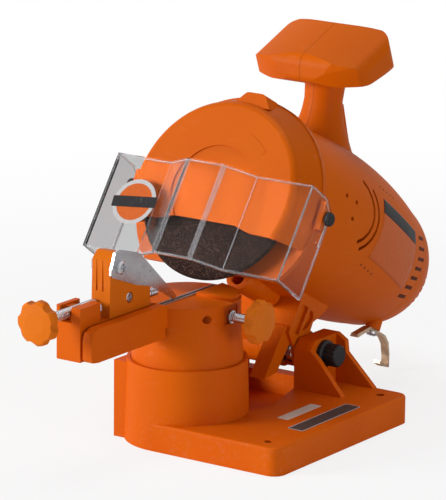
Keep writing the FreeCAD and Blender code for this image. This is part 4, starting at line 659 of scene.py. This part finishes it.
for spot, ((x, y), radius) in enumerate(zip(FOLDS, FOLD_RADII)):
    bead = [(x, y + radius - 1, SHIELD_LOW), (x, y + radius - 1, SHIELD_HIGH)]
    settle(f"shield_fold_{spot + 1}", tube(f"shield_fold_{spot + 1}", bead, radius, SHIELD),
           "shield", "clear_plastic", "clear_edge_sheen")
for label, x in (("left", -SHIELD_SIDE), ("right", SHIELD_SIDE)):
    bead = [(x, WING_END, SHIELD_LOW), (x, WING_END, WING_TOP)]
    settle(f"shield_wing_edge_{label}",
           tube(f"shield_wing_edge_{label}", bead, WING_RADIUS, SHIELD),
           "shield", "clear_plastic", "clear_edge_sheen")


# ---------------------------------------------------------------- on the barrel and guard

def surface_of(node):
    """The outer surface of a CAD node, for finding where a small piece lies on it."""
    mesh = NODES[node].data
    return BVHTree.FromPolygons([v.co.copy() for v in mesh.vertices],
                                [tuple(p.vertices) for p in mesh.polygons])


CHEEK = surface_of("right_housing")


def on_cheek(back, up, lift):
    """The point of the right cheek at a place back and up from the hinge, and its normal."""
    spot, normal, _, _ = CHEEK.ray_cast(HEAD @ Vector((90, back, up)), Vector((-1, 0, 0)))
    if spot is None:
        spot, normal, _, _ = CHEEK.find_nearest(HEAD @ Vector((50, back, up)))
    if normal.x < 0:
        normal = -normal
    return spot + normal * (lift * MM), normal


def cheek_film(name, corners, span, lift, thick, slot, finish, cells=(22, 14), far=False):
    """A film that lies on the cheek between four corners, or on the far cheek opposite."""
    (tl, tr, br, bl) = corners
    across, down = cells
    shape = bmesh.new()
    sheets = []
    for level in (lift + thick, lift):
        sheet = []
        for row in range(down + 1):
            v = span[0] + (span[1] - span[0]) * row / down
            left = Vector(tl).lerp(Vector(bl), v)
            right = Vector(tr).lerp(Vector(br), v)
            sheet.append([shape.verts.new(on_cheek(*left.lerp(right, i / across), level)[0])
                          for i in range(across + 1)])
        sheets.append(sheet)
    top, bottom = sheets
    for row in range(down):
        for i in range(across):
            shape.faces.new((top[row][i], top[row][i + 1], top[row + 1][i + 1],
                             top[row + 1][i]))
            shape.faces.new((bottom[row][i], bottom[row + 1][i], bottom[row + 1][i + 1],
                             bottom[row][i + 1]))
    edge = ([(0, i) for i in range(across)] + [(r, across) for r in range(down)]
            + [(down, i) for i in range(across, 0, -1)] + [(r, 0) for r in range(down, 0, -1)])
    for spot, (r, i) in enumerate(edge):
        s, j = edge[(spot + 1) % len(edge)]
        shape.faces.new((top[r][i], bottom[r][i], bottom[s][j], top[s][j]))
    if far:
        for corner in shape.verts:
            corner.co.x = 2 * HEAD_X - corner.co.x
    bmesh.ops.recalc_face_normals(shape, faces=shape.faces)
    for face in shape.faces:
        face.smooth = True
    mesh = bpy.data.meshes.new(name)
    shape.to_mesh(mesh)
    shape.free()
    settle(name, mesh, "head", slot, finish)


# The bare rating label and its dark header, by corners back and up from the hinge
LABEL = ((6.5, 105.1), (58.8, 98.7), (62.5, 60.4), (0.5, 64.9))
cheek_film("barrel_label", LABEL, (0.0, 1.0), 0.05, 0.12, "orange_plastic", "film_orange")
cheek_film("barrel_label_header", LABEL, (0.015, 0.23), 0.19, 0.06, "black_plastic",
           "film_header")

# Dark films of painted shade that stand for a row of vents at the tail of each cheek; they
# aren't open
TAIL_SLOTS = 7
TAIL_SLOT_TOP = 98.5
TAIL_SLOT_PITCH = 6.6
for spot in range(TAIL_SLOTS):
    up = TAIL_SLOT_TOP - spot * TAIL_SLOT_PITCH
    back = 75.5 - 0.9 * abs(spot - 2)
    slot_corners = ((back - 6.6, up - 0.8), (back + 5.0, up + 0.8), (back + 5.0, up - 1.4),
                    (back - 6.6, up - 3.2))
    for side, far in (("right", False), ("left", True)):
        cheek_film(f"tail_vent_shade_{side}_{spot + 1}", slot_corners, (0.0, 1.0), 0.02, 0.05,
                   "black_plastic", "pit_shadow", (6, 3), far)


def vent_shade_dots(name, rows, width):
    """Dark discs of painted shade that stand for small round vents on the cheek, set out along
    rows by Geometry Nodes.
    """
    places = [on_cheek(first[0] + (last[0] - first[0]) * i / (count - 1),
                       first[1] + (last[1] - first[1]) * i / (count - 1), 0.03)
              for first, last, count in rows for i in range(count)]
    seed = bpy.data.meshes.new(name)
    seed.from_pydata([spot for spot, _ in places], [], [])
    facing = seed.attributes.new("facing", "FLOAT_VECTOR", "POINT")
    facing.data.foreach_set("vector", [c for _, normal in places for c in normal])
    mesh = grown(name, SCATTER_TREE, seed, Width=width * MM, Height=0.1 * MM,
                 Finish=FINISHES["pit_shadow"])
    settle(name, mesh, "head", "black_plastic")


# Rows of small vent holes, drawn as flat discs of painted shade
VENT_ROWS = (((5.9, 111.7), (24.8, 110.1), 5), ((-2.2, 58.9), (13.9, 57.5), 4))
vent_shade_dots("barrel_vent_dots", VENT_ROWS, 0.75)

# A plain raised arc on the face of the disc guard
SPINDLE = HEAD @ Matrix.Translation((0, 0, 67.4)) @ Matrix.Rotation(math.radians(90), 4, "X")
ARC = circle(41.6, 20, start=44, sweep=26) + circle(38.4, 20, start=44, sweep=26)[::-1]
settle("guard_arc_pad", slab("guard_arc_pad", ARC, 109.4, 109.72, SPINDLE, 0.12), "head",
       "orange_plastic", "guard_orange_shaded")


# ---------------------------------------------------------------- studio

def studio_floor():
    """A wide pale floor whose far part fades into the white room."""
    f = Finish("studio_floor")
    away = f.node("ShaderNodeVectorMath", {"operation": "LENGTH"}, f.place, output="Value")
    seen = f.node("ShaderNodeLightPath", output="Is Camera Ray")
    share = seen * (away.step(0.3, 0.9) * 0.2 + 0.8)
    speck = f.noise(300, 3.0)
    card = f.node("ShaderNodeBsdfPrincipled", None,
                  Base_Color=f.mix(speck, ink(243, 243, 243), ink(247, 247, 247)),
                  Roughness=0.8, Specular_IOR_Level=0.1)
    glow = f.node("ShaderNodeEmission", None, Color=(1, 1, 1, 1), Strength=1.0)
    f.end(f.node("ShaderNodeMixShader", None, share, card, glow))
    shape = bmesh.new()
    shape.faces.new([shape.verts.new((x, y, 0)) for x, y in circle(14, 64)])
    bmesh.ops.inset_region(shape, faces=shape.faces, thickness=10)
    mesh = bpy.data.meshes.new("studio_floor")
    shape.to_mesh(mesh)
    shape.free()
    mesh.materials.append(f.material)
    floor = bpy.data.objects.new("studio_floor", mesh)
    bpy.context.scene.collection.objects.link(floor)


def lamp(name, at, toward, width, height, power):
    """A soft rectangular lamp that looks at a point."""
    light = bpy.data.lights.new(name, "AREA")
    light.shape = "RECTANGLE"
    light.size = width
    light.size_y = height
    light.energy = power
    shade = bpy.data.objects.new(name, light)
    bpy.context.scene.collection.objects.link(shade)
    shade.location = at
    shade.rotation_euler = (Vector(toward) - Vector(at)).to_track_quat("-Z", "Y").to_euler()


def white_room(strength):
    """A white world: full white to the eye and in reflections, softer as light."""
    world = bpy.data.worlds.new("white_room")
    bpy.context.scene.world = world
    world.use_nodes = True
    tree = world.node_tree
    tree.nodes.clear()
    path = tree.nodes.new("ShaderNodeLightPath")
    total = path.outputs["Is Camera Ray"]
    for ray in ("Is Glossy Ray", "Is Transmission Ray"):
        both = tree.nodes.new("ShaderNodeMath")
        both.operation = "MAXIMUM"
        tree.links.new(total, both.inputs[0])
        tree.links.new(path.outputs[ray], both.inputs[1])
        total = both.outputs[0]
    first = tree.nodes.new("ShaderNodeMath")
    first.operation = "LESS_THAN"
    first.inputs[1].default_value = 0.5
    tree.links.new(path.outputs["Diffuse Depth"], first.inputs[0])
    direct = tree.nodes.new("ShaderNodeMath")
    direct.operation = "MULTIPLY"
    tree.links.new(total, direct.inputs[0])
    tree.links.new(first.outputs[0], direct.inputs[1])
    total = direct.outputs[0]
    level = tree.nodes.new("ShaderNodeMapRange")
    level.inputs["To Min"].default_value = strength
    level.inputs["To Max"].default_value = 1.0
    tree.links.new(total, level.inputs["Value"])
    back = tree.nodes.new("ShaderNodeBackground")
    tree.links.new(level.outputs["Result"], back.inputs["Strength"])
    leave = tree.nodes.new("ShaderNodeOutputWorld")
    tree.links.new(back.outputs[0], leave.inputs["Surface"])


def stand_camera():
    """The camera: its place, its right, up and back directions, and its long lens."""
    data = bpy.data.cameras.new("camera")
    data.sensor_fit = "VERTICAL"
    data.sensor_height = 36
    data.lens = 293.61
    data.clip_end = 100
    camera = bpy.data.objects.new("camera", data)
    bpy.context.scene.collection.objects.link(camera)
    right = Vector((0.82096, 0.57090, 0.00976))
    up = Vector((-0.14888, 0.19752, 0.96893))
    back = right.cross(up)
    camera.matrix_world = Matrix.Translation((1.2994, -1.9897, 0.7280)) @ Matrix(
        (right, up, back)).transposed().to_4x4()
    bpy.context.scene.camera = camera


studio_floor()
white_room(0.25)
MIDDLE = (-0.06, 0.0, 0.12)
lamp("key", (-1.6, -1.75, 0.7), MIDDLE, 0.8, 0.8, 49)
lamp("side", (1.8, -0.3, 0.3), MIDDLE, 0.6, 0.5, 7)
lamp("top", (-0.1, 0.25, 2.2), MIDDLE, 1.2, 1.2, 14)
stand_camera()
bpy.context.scene.view_settings.view_transform = "Standard"
